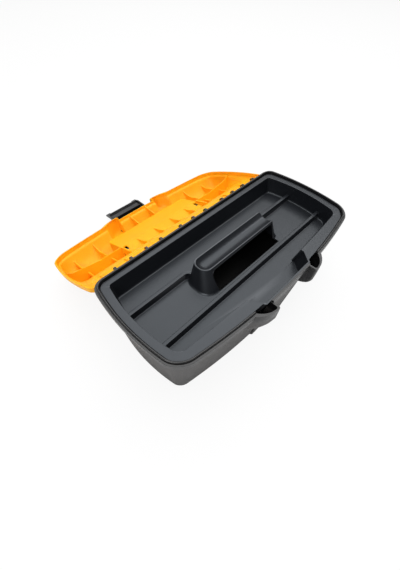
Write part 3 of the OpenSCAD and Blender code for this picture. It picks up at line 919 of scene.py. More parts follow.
@dataclass
class Tub:
    """The dark tub: walls, rim, latch guards, raised front panel and hinge hooks. Sizes in mm."""

    finish: bpy.types.Material
    wall: float = 2.4
    floor: float = 2.6
    band_h: float = 6.9
    band_out: float = 4.0
    draft: tuple[float, float, float] = (7.3, 10.2, 3.9)  # ends, front, back
    foot_r: float = 1.8
    well_r: float = 3.0
    extra_front: float = 1.0
    guard_h: float = 33.0
    guard_root: float = 7.0
    panel_out: float = 1.9
    panel_gap: float = 2.1
    band_h_front: float = 5.0
    band_out_front: float = 1.8
    hook_t: float = 2.2
    hook_w: float = 2.6
    hook_play: float = 0.08
    groove: tuple[float, float, float] = (8.0, 12.0, 0.8)  # outer inset, inner inset, depth

    @property
    def wall_z(self) -> float:
        """Height where the wall meets the rim band."""
        return CASE.ledge_z - self.band_h - self.band_out

    def wall_at(self, z: float, t: float = 0.0) -> Outline:
        """Outline of the leaning wall.

        Args:
            z: height.
            t: how far it is pulled in.

        Returns:
            The outline.
        """
        k = 1 - z / self.wall_z
        e, f, b = self.draft
        return CASE.rim(self.band_out).inset(e * k + t, f * k + t, b * k + t)

    def shell(self) -> Solid:
        """Walls, rim and lip as one closed skin.

        Returns:
            The solid.
        """
        top, ledge, seat = CASE.ledge_z + CASE.lip_h, CASE.ledge_z, CASE.ledge_w
        rows: list[Level] = []
        r = self.foot_r
        for a in np.radians([0, 22, 45, 68, 90]):
            rows.append((r * (1 - math.cos(a)), self.wall_at(r).inset(r * (1 - math.sin(a))).ring()))
        for z in np.linspace(12, self.wall_z - 0.6, 8):
            rows.append((z, self.wall_at(z).ring()))
        w, r, base = self.band_out, CASE.lip_t / 2, self.wall_z
        band = [(base + 0.1, w - 0.15), (base + w - 0.5, 0.55), (base + w - 0.1, 0.15), (base + w + 0.6, 0.0)]
        edge = [(ledge - 0.5, 0.0), (ledge - 0.15, 0.15), (ledge, 0.5)]
        gap = [(ledge, seat - 0.7), (ledge - 0.7, seat - 0.55), (ledge - 0.7, seat - 0.1), (ledge, seat)]
        lip = [(top - r * (1 - math.sin(a)), seat + r * (1 - math.cos(a)))
               for a in np.radians([0, 20, 40, 60, 75, 90, 105, 120, 140, 160, 180])]
        for z, d in band + edge + gap + lip + [(ledge - CASE.shelf, seat + CASE.lip_t + 0.01)]:
            rows.append((z, CASE.rim(d).ring()))
        inner = self.wall_at(base).inset(self.wall, self.wall + self.extra_front, self.wall)
        rows.append((ledge - CASE.shelf - 0.01, inner.ring()))
        for z in np.linspace(base, self.floor + self.well_r, 8):
            extra = self.extra_front * (z - self.floor) / base
            rows.append((z, self.wall_at(z).inset(self.wall, self.wall + extra, self.wall).ring()))
        r = self.well_r
        for a in np.radians([22, 45, 68, 90]):
            ring = self.wall_at(self.floor + r, self.wall + r * (1 - math.cos(a))).ring()
            rows.append((self.floor + r * (1 - math.sin(a)), ring))
        return Solid.loft("tub_shell", rows)

    def guard(self, t: float, z1: float, y0: float) -> Solid:
        """One latch guard, or its hollow.

        Args:
            t: 0 for the guard, the wall's thickness for its hollow.
            z1: its top.
            y0: how far back it reaches, behind the front of the rim.

        Returns:
            The solid.
        """
        base, full = CASE.ledge_z - self.guard_h, self.guard_h - 6
        w, front = CASE.bow_at(CASE.guard_out) + 1, CASE.rim_front
        shape = smooth_rows([[0, 0.06], [3, 0.45], [8, 0.8], [15, 0.97], [full, 1.0]], 14)
        rows: list[Level] = []
        for s, k in shape:
            z = base + s + (0 if s > 20 else t)
            y = min(self.wall_at(min(z, self.wall_z)).front, front + self.guard_root)
            rows.append((z, CASE.guard_ring(y - (y - front + CASE.guard_proj) * k, y + w, t, front + y0)))
        rows[-1] = (base + full, rows[-1][1])
        y = front + self.guard_root
        rows.append((z1, CASE.guard_ring(y - (self.guard_root + CASE.guard_proj), y + w, t, front + y0)))
        return Solid.loft("guard", rows)

    def panel_y(self, z: float) -> float:
        """Front of the raised middle panel at a height."""
        low = self.wall_at(0).front - self.panel_out
        return low - (low - CASE.rim_front - 2) * z / (CASE.ledge_z - self.band_h_front)

    def panel(self) -> list[Solid]:
        """The front between the guards.

        Returns:
            The raised middle panel and the band that the latch hooks under.
        """

        def ring(z: float, w: float, d: float) -> Ring:
            """Plan at height z with half width w, set back by d."""
            y = self.panel_y(z) + d
            return np.array([[-w, y + 9], [-w, y + 1], [-w + 1, y], [w - 1, y], [w, y + 1], [w, y + 9]])

        g, top, out = CASE.guard_in, CASE.ledge_z, self.band_out_front
        step, band_z = top - self.guard_h, top - self.band_h_front
        face = Solid.loft("panel", [(0, ring(0, g - 3, 1.6)), (1.6, ring(1.6, g - 3, 0)),
                                    (step, ring(step, g + 1, 0)), (band_z, ring(band_z, g + 1, 0))])
        band = Solid.loft("catch_band", [(band_z - out, ring(band_z - out, g + 1, 0)),
                                         (band_z, ring(band_z, g + 1, -out)),
                                         (top + CASE.lip_h, ring(band_z, g + 1, -out))])
        return [face, band]

    def bay(self) -> Solid:
        """The hollow behind the raised panel.

        Returns:
            The cutter.
        """
        w, top = CASE.guard_in + CASE.guard_t + 1, CASE.ledge_z
        low, shelf, behind = top - self.guard_h + 4, top - CASE.shelf, CASE.rim_front + 2.4

        def ring(y: float) -> Ring:
            """Plan of the hollow with its front at y."""
            return np.array([[-w, y], [w, y], [w, y + 12], [-w, y + 12]])

        under_band = self.panel_y(top - self.band_h_front) + self.panel_gap
        return Solid.loft("bay", [(low, ring(self.panel_y(low) + self.panel_gap)),
                                  (shelf - 1, ring(under_band)), (shelf, ring(behind)),
                                  (top + CASE.lip_h + 1, ring(behind))])

    def hook(self) -> Solid:
        """One C-shaped hinge hook at x = 0.

        Returns:
            The solid.
        """
        r, back = CASE.rod_d / 2 + self.hook_play, CASE.axis_y - CASE.rim_back
        body = np.vstack([turn((0, 0), r + self.hook_t, -25, 90, 20, close=True),
                          [[-back - 2.5, r + self.hook_t], [-back - 2.5, -0.6], [-r * 0.97, -0.6]],
                          turn((0, 0), r, 200, -60, 24, close=True)])
        body = body + np.array([CASE.axis_y, CASE.axis_z])
        return Solid.push("hook", body, Axis.X, -self.hook_w / 2, self.hook_w / 2)

    def foot_groove(self) -> Solid:
        """The shallow groove inside the edge of the base.

        Returns:
            The cutter.
        """
        out, inn, deep = self.groove
        edge, pad = self.wall_at(0).inset(out), self.wall_at(0).inset(inn)
        groove = Solid.loft("groove", [(-1, edge.ring()), (deep, edge.inset(deep).ring())])
        return groove.carve(Solid.loft("pad", [(-2, pad.ring()), (2, pad.ring())]))

    def inside(self, top: float) -> Solid:
        """Room that stays clear behind the guards and the panel.

        Args:
            top: height it reaches.

        Returns:
            The cutter.
        """
        rows: list[Level] = []
        for z in (self.floor + self.well_r, 40.0, self.wall_z, CASE.ledge_z - CASE.shelf):
            extra = self.extra_front * min(1, (z - self.floor) / self.wall_z)
            wall = self.wall_at(min(z, self.wall_z)).inset(self.wall, self.wall + extra, self.wall)
            rows.append((z, wall.ring()))
        seat = CASE.rim(CASE.ledge_w + CASE.lip_t + 0.01)
        rows += [(CASE.ledge_z - CASE.shelf + 0.001, seat.ring()), (top, seat.ring())]
        return Solid.loft("inside", rows)

    def build(self) -> list[bpy.types.Object]:
        """Build and dress the tub.

        Returns:
            The tub and its row of hooks.
        """
        top = CASE.ledge_z + CASE.lip_h + 1
        tub = self.shell().both(lambda: self.guard(0, CASE.ledge_z, 13.5), Cut.JOIN).join(*self.panel())
        tub.carve(self.inside(top)).both(lambda: self.guard(CASE.guard_t, top, 16), Cut.CARVE)
        tub.carve(self.bay(), self.foot_groove())
        left, middle, right = CASE.hook_groups
        row = set_out_row(self.hook(), row_tree(self.finish), Count=left + middle + right,
                          Pitch=CASE.hook_pitch, Extra_gap=CASE.hook_gap - CASE.hook_pitch,
                          First_gap=left, Second_gap=left + middle)
        out = [tub.finish("tub_body_shell", self.finish, 0.4), row.finish("hinge_hooks", self.finish, 0.25)]
        # The tub's inside faces get painted shade.
        mark_painted_shade(out[0], Vector((0, 0, 0.3)))
        for o in out:
            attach(o, "tub_body")
        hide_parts("tub")
        return out


@dataclass
class ToteTray:
    """The lift-out tray: flange, compartments, ribs and the hollow handle. Sizes in mm."""

    finish: bpy.types.Material
    depth: float = 22.0
    wall: float = 1.8
    flange_t: float = 2.0
    gap: float = 0.8
    flange: tuple[float, float, float] = (8.6, 15.6, 7.0)  # ends, front, back
    mouth_r: tuple[float, float] = (8.0, 3.2)  # front, back
    draft: float = 4.4
    draft_end: float = 1.6
    foot_r: float = 2.2
    base_r: float = 3.0
    bay_out: float = 15.6
    bay_l: float = 39.5
    bay_slant: float = 10.0
    rib_h: float = 8.0
    rib_w: float = 4.2
    rib_at: tuple[float, float] = (35.0, 85.5)  # from the back wall
    grip_x: tuple[float, float] = (-57.0, 68.0)
    grip_w: float = 23.0
    grip_up: float = 1.0
    grip_rim: float = 1.1
    trough: float = 6.4
    grip_lean: tuple[float, float, float, float] = (11.0, 2.0, 17.0, 0.6)  # left, right, front, back
    grip_r: tuple[float, float, float] = (16.0, 10.0, 5.0)  # left at the foot, left at the top, right
    grip_foot_r: float = 2.4
    finger_l: float = 114.0
    finger_end: float = 3.6
    finger_down: float = 2.6
    ease_right: float = 8.0
    curl_r: float = 9.0

    @property
    def seat(self) -> Outline:
        """Outer edge of the flange."""
        return CASE.rim(CASE.ledge_w + CASE.lip_t + self.gap)

    @property
    def top(self) -> float:
        """Height of the flange's top."""
        return CASE.ledge_z - CASE.shelf + self.flange_t

    @property
    def floor(self) -> float:
        """Height of the tray's floor."""
        return self.top - self.depth

    def mouth(self, t: float, k: float) -> Outline:
        """Outline of the inner wall.

        Args:
            t: wall thickness to add.
            k: 0 at the flange, 1 at the floor.

        Returns:
            The outline.
        """
        e, f, b = self.flange
        wall = self.seat.inset(e + self.draft_end * k - t, f + self.draft * k - t, b + self.draft * k - t)
        return Outline(wall.half, wall.front, wall.back, self.mouth_r[0] + t, self.mouth_r[1] + t)

    def shell(self) -> Solid:
        """Flange and tray walls as one closed skin, without the front bay.

        Returns:
            The solid.
        """
        top, low, under = self.top, self.floor, self.top - self.flange_t
        rows: list[Level] = []
        r = self.base_r
        for a in np.radians([0, 30, 60, 90]):
            ring = self.mouth(self.wall, 1.1).inset(r * (1 - math.sin(a))).ring(0.5)
            rows.append((low - self.wall + r * (1 - math.cos(a)), ring))
        rows += [(under - 0.01, self.mouth(self.wall, 0.08).ring(0.5)), (under, self.seat.inset(0.01).ring()),
                 (top - 0.5, self.seat.ring()), (top - 0.15, self.seat.inset(0.15).ring()),
                 (top, self.seat.inset(0.5).ring()),
                 (top, self.mouth(0.9, 0).ring(0.5)), (top - 0.25, self.mouth(0.25, 0).ring(0.5))]
        for z, k in ((top - 0.9, 0.0), (top - 6, 0.26), (top - 12, 0.53), (low + 2.5, 0.93)):
            rows.append((z, self.mouth(0, k).ring(0.5)))
        r = self.foot_r
        for a in np.radians([25, 50, 70, 90]):
            ring = self.mouth(0, 0.96).inset(r * (1 - math.cos(a))).ring(0.5)
            rows.append((low + r * (1 - math.sin(a)), ring))
        return Solid.loft("tray_shell", rows)

    def bay_ring(self, t: float, k: float) -> Ring:
        """Plan of the front bay.

        Args:
            t: wall thickness to add.
            k: 0 at the flange, 1 at the floor.

        Returns:
            Ring with rounded corners.
        """
        front = self.mouth(0, 0).front
        f = front - self.bay_out + (self.draft + 1.3) * k - t
        b = front + self.draft * k + (-0.9 if t else 3)
        d, w = self.bay_out * 0.78, self.bay_l + t * 0.6 - k
        v = w + self.bay_slant
        return eased_polygon([[-v, b], [-v, f + d], [-w, f], [w, f], [v, f + d], [v, b]],
                             [0, 2.0, 2.5, 2.5, 2.0, 0])

    def bay(self, t: float, z0: float, z1: float, k0: float, k1: float) -> Solid:
        """The bay, or its hollow, between two heights."""
        return Solid.loft("bay", [(z0, self.bay_ring(t, k0)), (z1, self.bay_ring(t, k1))])

    def rib(self, y: float, x0: float, x1: float) -> Solid:
        """A long low rib on the floor.

        Args:
            y: its middle.
            x0: left end.
            x1: right end.

        Returns:
            The solid.
        """
        b, w, h = self.rib_w / 2 + 1.1, self.rib_w / 2, self.rib_h
        toe = b + 1.6
        section = eased_polygon([[-toe, -0.6], [-toe, 0], [-b, 0.1], [-w, h],
                                 [w, h], [b, 0.1], [toe, 0], [toe, -0.6]],
                                [0, 0, 1.4, 0.9, 0.9, 1.4, 0, 0], 3)
        return Solid.push("rib", section + np.array([y, self.floor]), Axis.X, x0, x1)

    def curl(self, y: float) -> Solid:
        """The quarter turn in which the long rib runs into the handle's left post.

        Args:
            y: the rib's middle.

        Returns:
            The solid.
        """
        rows: list[Level] = []
        r = self.curl_r
        mid = (self.grip_x[0] - r, y - r)
        section = ((-0.6, 2.7), (0, 2.7), (0.12, 1.5), (1.0, 1.0), (7.2, 0.12), (7.75, -0.12), (8.0, -0.7))
        for h, out in section:
            b = self.rib_w / 2 + out
            ring = np.vstack([turn(mid, r + b, 0, 90, 13, True), turn(mid, r - b, 90, 0, 13, True)])
            rows.append((self.floor + h, ring))
        return Solid.loft("curl", rows)

    @property
    def grip_y(self) -> tuple[float, float]:
        """Front and back of the handle's top."""
        back = self.mouth(0, 0).back - self.rib_at[0] - self.rib_w / 2 - 0.9
        return back - self.grip_w, back

    @property
    def grip_top(self) -> float:
        """Height of the handle's rim."""
        return self.top + self.grip_up

    @property
    def trough_r(self) -> float:
        """Radius of the trough's round bottom."""
        w = self.grip_w / 2 - self.grip_rim
        return (w * w + self.trough ** 2) / (2 * self.trough)

    def grip_skin(self, t: float, z0: float, z1: float, soft: float = 0.0) -> Solid:
        """The handle's outer form, or its hollow.

        Args:
            t: 0 outside, the wall's thickness for the hollow.
            z0: its foot.
            z1: its top.
            soft: radius where it meets the floor.

        Returns:
            The solid.
        """
        (xa, xb), (ya, yb), (left, right, front, back) = self.grip_x, self.grip_y, self.grip_lean
        foot_r, top_r, right_r = self.grip_r
        high = z1 - self.floor
        full = high / (self.grip_top - self.floor)
        rows: list[Level] = []
        foot = [v for v in (0.15, 0.45, 0.9, 1.5, 2.2) if soft]
        for h in np.r_[z0 - self.floor, foot, np.linspace(3.2, high, 8)]:
            k = full * max(0.0, h) / high
            out = soft - math.sqrt(max(0.0, soft ** 2 - (soft - max(0.0, h)) ** 2)) if h < soft else 0.0
            g = t - out
            ring = slot_ring(xa - left + left * k + g, xb + right - right * k - g,
                             ya - front + front * k + g, yb + back - back * k - g,
                             foot_r - (foot_r - top_r) * k - g, right_r - g)
            along = np.clip((ring[:, 0] - xa) / (xb - xa), 0, 1)
            across = np.clip((yb - ring[:, 1]) / (yb - ya), 0, 1)
            ring[:, 1] += self.ease_right * (along * across) * (1 - k)
            rows.append((self.floor + h, ring))
        return Solid.loft("grip", rows)

    def trough_cut(self) -> Solid:
        """The round-bottomed trough along the handle's top.

        Returns:
            The cutter.
        """
        ya, yb = self.grip_y
        r, n = self.trough_r, 48
        x0 = self.grip_x[0] + self.grip_w / 2
        at = (ya + yb) / 2, self.grip_top - self.trough + r
        rows: list[np.ndarray] = []
        for a in np.radians(np.linspace(4, 90, 16)):
            circle = turn(at, r * math.sin(a), 0, 360, n)
            rows.append(np.column_stack([np.full(n, x0 - r * math.cos(a)), circle]))
        rows.append(np.column_stack([np.full(n, self.grip_x[1] + 2), turn(at, r, 0, 360, n)]))
        m = len(rows)
        caps = [list(range(n)), list(range((m - 1) * n, m * n))[::-1]]
        return Solid.from_faces("trough", np.vstack(rows), caps + side_faces(m, n))

    @property
    def finger_x(self) -> tuple[float, float]:
        """Left and right end of the finger opening."""
        x1 = self.grip_x[1] - self.finger_end
        return x1 - self.finger_l, x1

    def finger_cut(self) -> Solid:
        """The finger opening, which ends under the trough's wall.

        Returns:
            The cutter.
        """
        (x0, x1), (ya, yb) = self.finger_x, self.grip_y
        low, high = self.floor - 3, self.grip_top - self.finger_down
        section = eased_polygon([[x0, low], [x1, low], [x1, high], [x0, high]], [0, 0, 4, 8], 8)
        r, mid = self.trough_r, (ya + yb) / 2
        top = self.grip_top - self.trough + r
        under = [[mid - d, top - math.sqrt((r + self.wall) ** 2 - d * d)]
                 for d in np.linspace(self.grip_w / 2 - 0.2, 0, 14)]
        foot = self.floor - 4
        below = np.array([[ya - 20, foot], [ya - 20, under[0][1]], *under, [mid, foot]])
        keep = Solid.push("below", below, Axis.X, x0 - 1, x1 + 1)
        return Solid.push("finger", section, Axis.Y, ya - 17, ya + 9).with_(keep, Cut.KEEP)

    def fin(self) -> Solid:
        """The small gusset at the finger opening's left front corner.

        Returns:
            The solid.
        """
        x0, ya, low = self.finger_x[0], self.grip_y[0], self.floor - 0.2
        side = np.array([[ya - 17.5, low], [ya - 10, low], [ya - 11, low + 4.6], [ya - 12, low + 4.6]])
        return Solid.push("fin", side, Axis.X, x0 - 1.8, x0 - 0.2)

    def build(self) -> list[bpy.types.Object]:
        """Build and dress the tray.

        Returns:
            The tray.
        """
        low, top, mouth = self.floor, self.top, self.mouth(0, 0)
        tray = self.shell()
        tray.join(self.bay(self.wall, low - self.wall, top - 0.02, 1.1, 0))
        tray.carve(self.bay(0, low + 0.002, top + 1, 1, -0.05))
        room = Solid.loft("room", [(low - 1, self.mouth(0.6, 1).ring(0.5)),
                                   (top, self.mouth(0.6, 0).ring(0.5))])
        end = mouth.half - self.draft_end * 0.5
        y_b, y_f = mouth.back - self.rib_at[0], mouth.back - self.rib_at[1]
        ribs = self.rib(y_f, -end, end)
        ribs.join(self.rib(y_b, -end, self.grip_x[0] - self.curl_r + 0.3), self.curl(y_b))
        ribs.join(self.rib(y_b, self.grip_x[1] - 4, end))
        tray.join(ribs.with_(room, Cut.KEEP))
        tray.join(self.grip_skin(0, low - 0.02, self.grip_top, self.grip_foot_r), self.fin())
        tray.carve(self.grip_skin(self.wall, low - self.wall - 1, self.grip_top - self.trough - self.wall),
                   self.trough_cut(), self.finger_cut())
        obj = tray.finish("tote_tray_shell", self.finish, 0.6)
        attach(obj, "tray_body")
        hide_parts("tote_tray")
        return [obj]


def opened(solid: Solid, more: float = 0.0, pivot: tuple[float, float] | None = None) -> Solid:
    """Turn a solid that is drawn with the lid shut into the opened pose.

    Args:
        solid: the solid.
        more: its own turn about pivot first, in degrees.
        pivot: y, z of that turn.

    Returns:
        The same solid.
    """
    m = Matrix.Identity(4)
    if pivot is not None:
        p = Vector((0, *pivot))
        m = Matrix.Translation(p) @ Matrix.Rotation(math.radians(more), 4, "X") @ Matrix.Translation(-p)
    a = Vector((0, CASE.axis_y, CASE.axis_z))
    swing = Matrix.Rotation(math.radians(-CASE.lid_open), 4, "X")
    return solid.moved(Matrix.Translation(a) @ swing @ Matrix.Translation(-a) @ m)


@dataclass
class Lid:
    """The yellow lid, drawn shut: domed shell, ears, handle recess, fins, ribs and hinge rod. Sizes in mm."""

    finish: bpy.types.Material
    height: float = 36.5
    wall: float = 2.0
    skirt: float = 7.0
    shut_gap: float = 0.3
    crown_back: float = 57.4
    recess_l: float = 73.0
    recess_d: float = 20.0
    recess_w: float = 36.0
    recess_at: float = 27.0
    recess_ramp: float = 17.0
    rib_t: float = 1.6
    rib_z: float = 20.0
    fin_in: float = 15.5
    fin_out: float = 47.0
    fin_l: float = 29.0
    rib_end: float = 30.0
    rib_step: float = 37.0
    rib_margin: float = 3.0
    ear_reach: float = 0.84
    ear_back: float = 21.0
    foot_r: float = 1.4
    pin_d: float = 4.0
    boss_wall: float = 2.2
    boss_l: float = 3.2
    bail_pin_d: float = 4.0
    pin_play: float = 0.05
    arm_w: float = 4.0
    arm_play: float = 0.4
    slot_half: float = 4.5
    slot_up: float = 6.0
    notch_play: float = 1.4
    web_play: float = 2.1
    rod_end: float = 11.0

    @property
    def z0(self) -> float:
        """Height of the skirt's edge."""
        return CASE.ledge_z + self.shut_gap

    @property
    def recess_y(self) -> tuple[float, float]:
        """Front and back of the handle recess."""
        y = CASE.rim_front + self.recess_at
        return y, y + self.recess_w

    @property
    def recess_z(self) -> float:
        """Height of the recess floor over the skirt's edge."""
        return self.height - self.recess_d

    @property
    def bail_pivot(self) -> tuple[float, float]:
        """y, z of the carrying handle's pivot."""
        return self.recess_y[1] + 7, self.z0 + self.recess_z + 7.9

    @property
    def bail_x(self) -> float:
        """Inner side of the carrying handle's arm."""
        return self.recess_l - 2.4 - self.arm_w

    @property
    def latch_pivot(self) -> tuple[float, float]:
        """y, z of the latch's pivot."""
        return CASE.rim_front - 1.6, self.z0 + self.height * 0.6

    def profile(self, n: int) -> np.ndarray:
        """The dome's section over the skirt.

        Args:
            n: number of rows.

        Returns:
            Rows of height, end inset, front inset and back inset.
        """
        h, s, b = self.height, self.skirt, CASE.rim_back - CASE.rim_front - self.crown_back
        rows = [[s + 1.7, 2.6, 2.8, b * 0.078], [s + 3.2, 3.2, 3.6, b * 0.333],
                [h * 0.42, 4.2, 5.5, b * 0.544], [h * 0.61, 6, 8.2, b * 0.7],
                [h * 0.79, 9.5, 12.5, b * 0.828], [h * 0.91, 15, 17.5, b * 0.9],
                [h * 0.975, 21, 22, b * 0.95], [h, 29, 28, b]]
        return smooth_rows(rows, n)

    def skin(self, inner: bool) -> list[Level]:
        """Rings of the outside or the inside, from the skirt's edge up.

        Args:
            inner: whether the inside is wanted.

        Returns:
            Pairs of height and ring.
        """
        t, s = self.wall if inner else 0.0, self.skirt
        if inner:
            rows = [(h, d, d, d) for h, d in ((0, t + 0.35), (0.4, t), (s - 1.2, t + 0.3))]
        else:
            rows = [(0, 0.4, 0.4, 0.4), (0.15, 0.12, 0.12, 0.12), (0.5, 0, 0, 0),
                    (s - 0.6, 0.3, 0.3, 0.3), (s - 0.1, 0.55, 0.55, 0.6)]
        for h, e, f, b in self.profile(30):
            g = t * (0.6 if h > self.height * 0.85 else 1)
            drop = max(t * min(1, max(0, (h - s) / 14)), t * 0.55)
            back = t * (1.6 if h < s + 2.2 else 1.15)
            rows.append((h - drop, e + g, f + g, b + back))
        return [(self.z0 + h, CASE.rim().inset(e, f, b).ring()) for h, e, f, b in rows]

    def body(self, inner: bool) -> Solid:
        """The full outside form, or the room inside, as a solid block.

        Args:
            inner: whether the room inside is wanted.

        Returns:
            The solid.
        """
        rows = self.skin(inner)
        if inner:
            rows = [(rows[0][0] - 1, rows[0][1])] + rows
        return Solid.loft("lid_body", rows)

    def ear(self, t: float) -> Solid:
        """One ear beside the latch, or its hollow.

        Args:
            t: 0 for the ear, the wall's thickness for its hollow.

        Returns:
            The solid.
        """
        w, top = CASE.bow_at(CASE.guard_out) + 1, self.height * self.ear_reach
        prof, root = self.profile(30), CASE.rim_front + self.ear_back + t
        shape = smooth_rows([[0, 0.8], [0.15, 1], [0.5, 1], [0.72, 0.9], [0.88, 0.6], [1, 0.15]], 16)
        rows: list[Level] = []
        for s, k in shape:
            h = s * top
            inset = float(np.interp(h, np.r_[0, self.skirt, prof[:, 0]], np.r_[0, 0.4, prof[:, 2]]))
            y = CASE.rim_front + inset
            f = y - (inset + CASE.guard_proj) * k
            up = h - t * s
            if s == 0 and t:
                up = -1  # the hollow is open below
            rows.append((self.z0 + up, CASE.guard_ring(f, y + w, t, root)))
        return Solid.loft("ear", rows)

    def recess(self, t: float, z1: float) -> Solid:
        """The handle recess: its block of wall, or its hollow.

        Args:
            t: the wall's thickness for the block, 0 for the hollow.
            z1: height over the skirt's edge that it reaches.

        Returns:
            The solid.
        """
        y0, y1 = self.recess_y
        low, h, w = self.z0 + self.recess_z - t, z1 - self.recess_z, self.recess_l + t
        slope = 1 / math.tan(math.radians(self.recess_ramp))

        def ring(k: float, rise: float) -> Ring:
            """Plan grown by k, with its back sloped by rise."""
            return slot_ring(-w - k, w + k, y0 - t - k, y1 + t * 0.15 + rise * slope, 5, 5)

        rows: list[Level] = []
        r = self.foot_r
        for a in np.radians([90, 60, 30, 0]):
            up = r * (1 - math.sin(a))
            rows.append((low + up, ring(-r * (1 - math.cos(a)), up)))
        return Solid.loft("recess", rows + [(self.z0 + z1, ring(h * 0.05, h + t))])

    def plate(self, x: float, t: float, points: Sequence[Sequence[float]]) -> Solid:
        """A plate across X with corners given as y and height over the skirt's edge."""
        shape = np.array(points, float) + np.array([0, self.z0])
        return Solid.push("plate", shape, Axis.X, x - t / 2, x + t / 2)

    def webs(self) -> Solid:
        """Ribs and fins, not yet trimmed to the shell.

        Returns:
            The solid.
        """
        (y0, y1), fin = self.recess_y, self.recess_z - self.wall
        front, back, top = CASE.rim_front, CASE.rim_back, self.height
        out: list[Solid] = []
        for x, t, tall in ((self.fin_in, self.rib_t, 0.0), (self.fin_out, self.rib_t, 0.0),
                           (self.recess_l + self.wall / 2, self.wall, 1.4)):
            out.append(self.plate(x, t, [[y1 - 1, fin + 0.4], [y1 + 5, fin + 0.2 - tall],
                                         [y1 + 15, fin + 0.2 - tall], [y1 + self.fin_l, fin - 1],
                                         [y1 + self.fin_l, fin + 8], [y1 - 1, fin + 16]]))
        out.append(self.plate(self.fin_in + 1, self.rib_t, [[front + 1, CASE.lip_h + 0.4], [y0 - 3, fin - 2],
                                                            [y0, fin], [y0, top], [front, top]]))
        out += self.cross_ribs(front + self.rib_margin, back - self.rib_margin)
        end = CASE.half - self.rib_margin
        long = np.array([[self.recess_l, fin], [self.recess_l + self.rib_step, fin],
                         [CASE.half - 12, fin - 5], [end, CASE.lip_h + 1], [end, top], [self.recess_l, top]])
        long += np.array([0, self.z0])
        out.append(Solid.push("long_rib", long, Axis.Y, y1 + 0.4, y1 + 0.4 + self.rib_t))
        whole = out[0].join(*out[1:])
        return whole.join(whole.mirrored())

    def cross_ribs(self, y0: float, y1: float) -> list[Solid]:
        """The two arched ribs across the lid's right end, which webs() mirrors.

        Args:
            y0: their front end.
            y1: their back end.

        Returns:
            The outer and the inner rib.
        """
        low, run = self.skirt - 3, self.recess_y[0] + 8 - y0
        arch = [[y0, low]]
        for u in np.linspace(0.06, 1, 14):
            arch.append([y0 + run * u, low + (self.rib_z - low) * math.sin(math.pi / 2 * u)])
        arch += [[CASE.rim_front + self.crown_back + 24, self.rib_z], [CASE.rim_back - 32, self.skirt],
                 [y1, low + 1], [y1, self.height], [y0, self.height]]
        outer = CASE.half - self.rib_end
        return [self.plate(x, self.rib_t, arch) for x in (outer, outer - self.rib_step)]

    def hinge(self) -> Solid:
        """The hinge rod and the webs between the hooks.

        Returns:
            The solid.
        """
        xs, y, z = hook_places(), CASE.axis_y, CASE.axis_z
        back, down = y - CASE.rim_back, CASE.ledge_z - z + self.shut_gap
        first, last = xs[0] - self.rod_end, xs[-1] + self.rod_end
        out = Solid.rod("rod", y, z, CASE.rod_d / 2, first, last)
        section = [[-back + 0.35, 0], [CASE.rod_d / 2, 0], [0.5, down - 1],
                   [-back + 1.2, down + 2.4], [-back - 1.6, down + 3.4], [-back - 1.6, down],
                   [-back - 0.2, down], [-back + 0.35, down - 0.6]]
        for a, b in zip([first] + [x + self.web_play for x in xs], [x - self.web_play for x in xs] + [last]):
            out.join(Solid.push("web", np.array(section) + np.array([y, z]), Axis.X, a, b))
        return out

    def build(self) -> list[bpy.types.Object]:
        """Build and dress the lid.

        Returns:
            The lid.
        """
        lid = self.body(False).both(lambda: self.ear(0), Cut.JOIN).carve(self.body(True))
        lid.both(lambda: self.ear(CASE.guard_t), Cut.CARVE)
        lid.join(self.recess(self.wall, self.height + 1).join(self.webs()).with_(self.body(False), Cut.KEEP))
        (y, z), (by, bz), x = self.latch_pivot, self.bail_pivot, self.bail_x
        boss_x, low = CASE.guard_in, self.z0 + self.recess_z
        boss_r = self.pin_d / 2 + self.boss_wall
        lid.both(lambda: Solid.rod("boss", y, z, boss_r, boss_x, boss_x + self.boss_l), Cut.JOIN)
        lid.carve(self.recess(0, self.height + 1))
        x_a, x_b = x - self.arm_play, x + self.arm_w + self.arm_play
        lid.both(lambda: Solid.block("slot", (x_a, by - self.slot_half, low - self.wall - 1),
                                     (x_b, by + self.slot_half, low + self.slot_up)), Cut.CARVE)
        bail_r, latch_r = self.bail_pin_d / 2 + self.pin_play, self.pin_d / 2 + self.pin_play
        lid.both(lambda: Solid.rod("bore", by, bz, bail_r, self.recess_l - 1, self.recess_l + 4), Cut.CARVE)
        lid.both(lambda: Solid.rod("bore", y, z, latch_r, boss_x - 1, boss_x + 5), Cut.CARVE)
        notch = boss_x + self.notch_play
        lid.carve(Solid.block("notch", (-notch, CASE.rim_front - 2, self.z0 - 2),
                              (notch, CASE.rim_front + 6, self.z0 + CASE.lip_h)))
        lid.join(self.hinge())
        obj = opened(lid).finish("lid_shell", self.finish, 0.35)
        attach(obj, "lid_body")
        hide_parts("lid")
        return [obj]


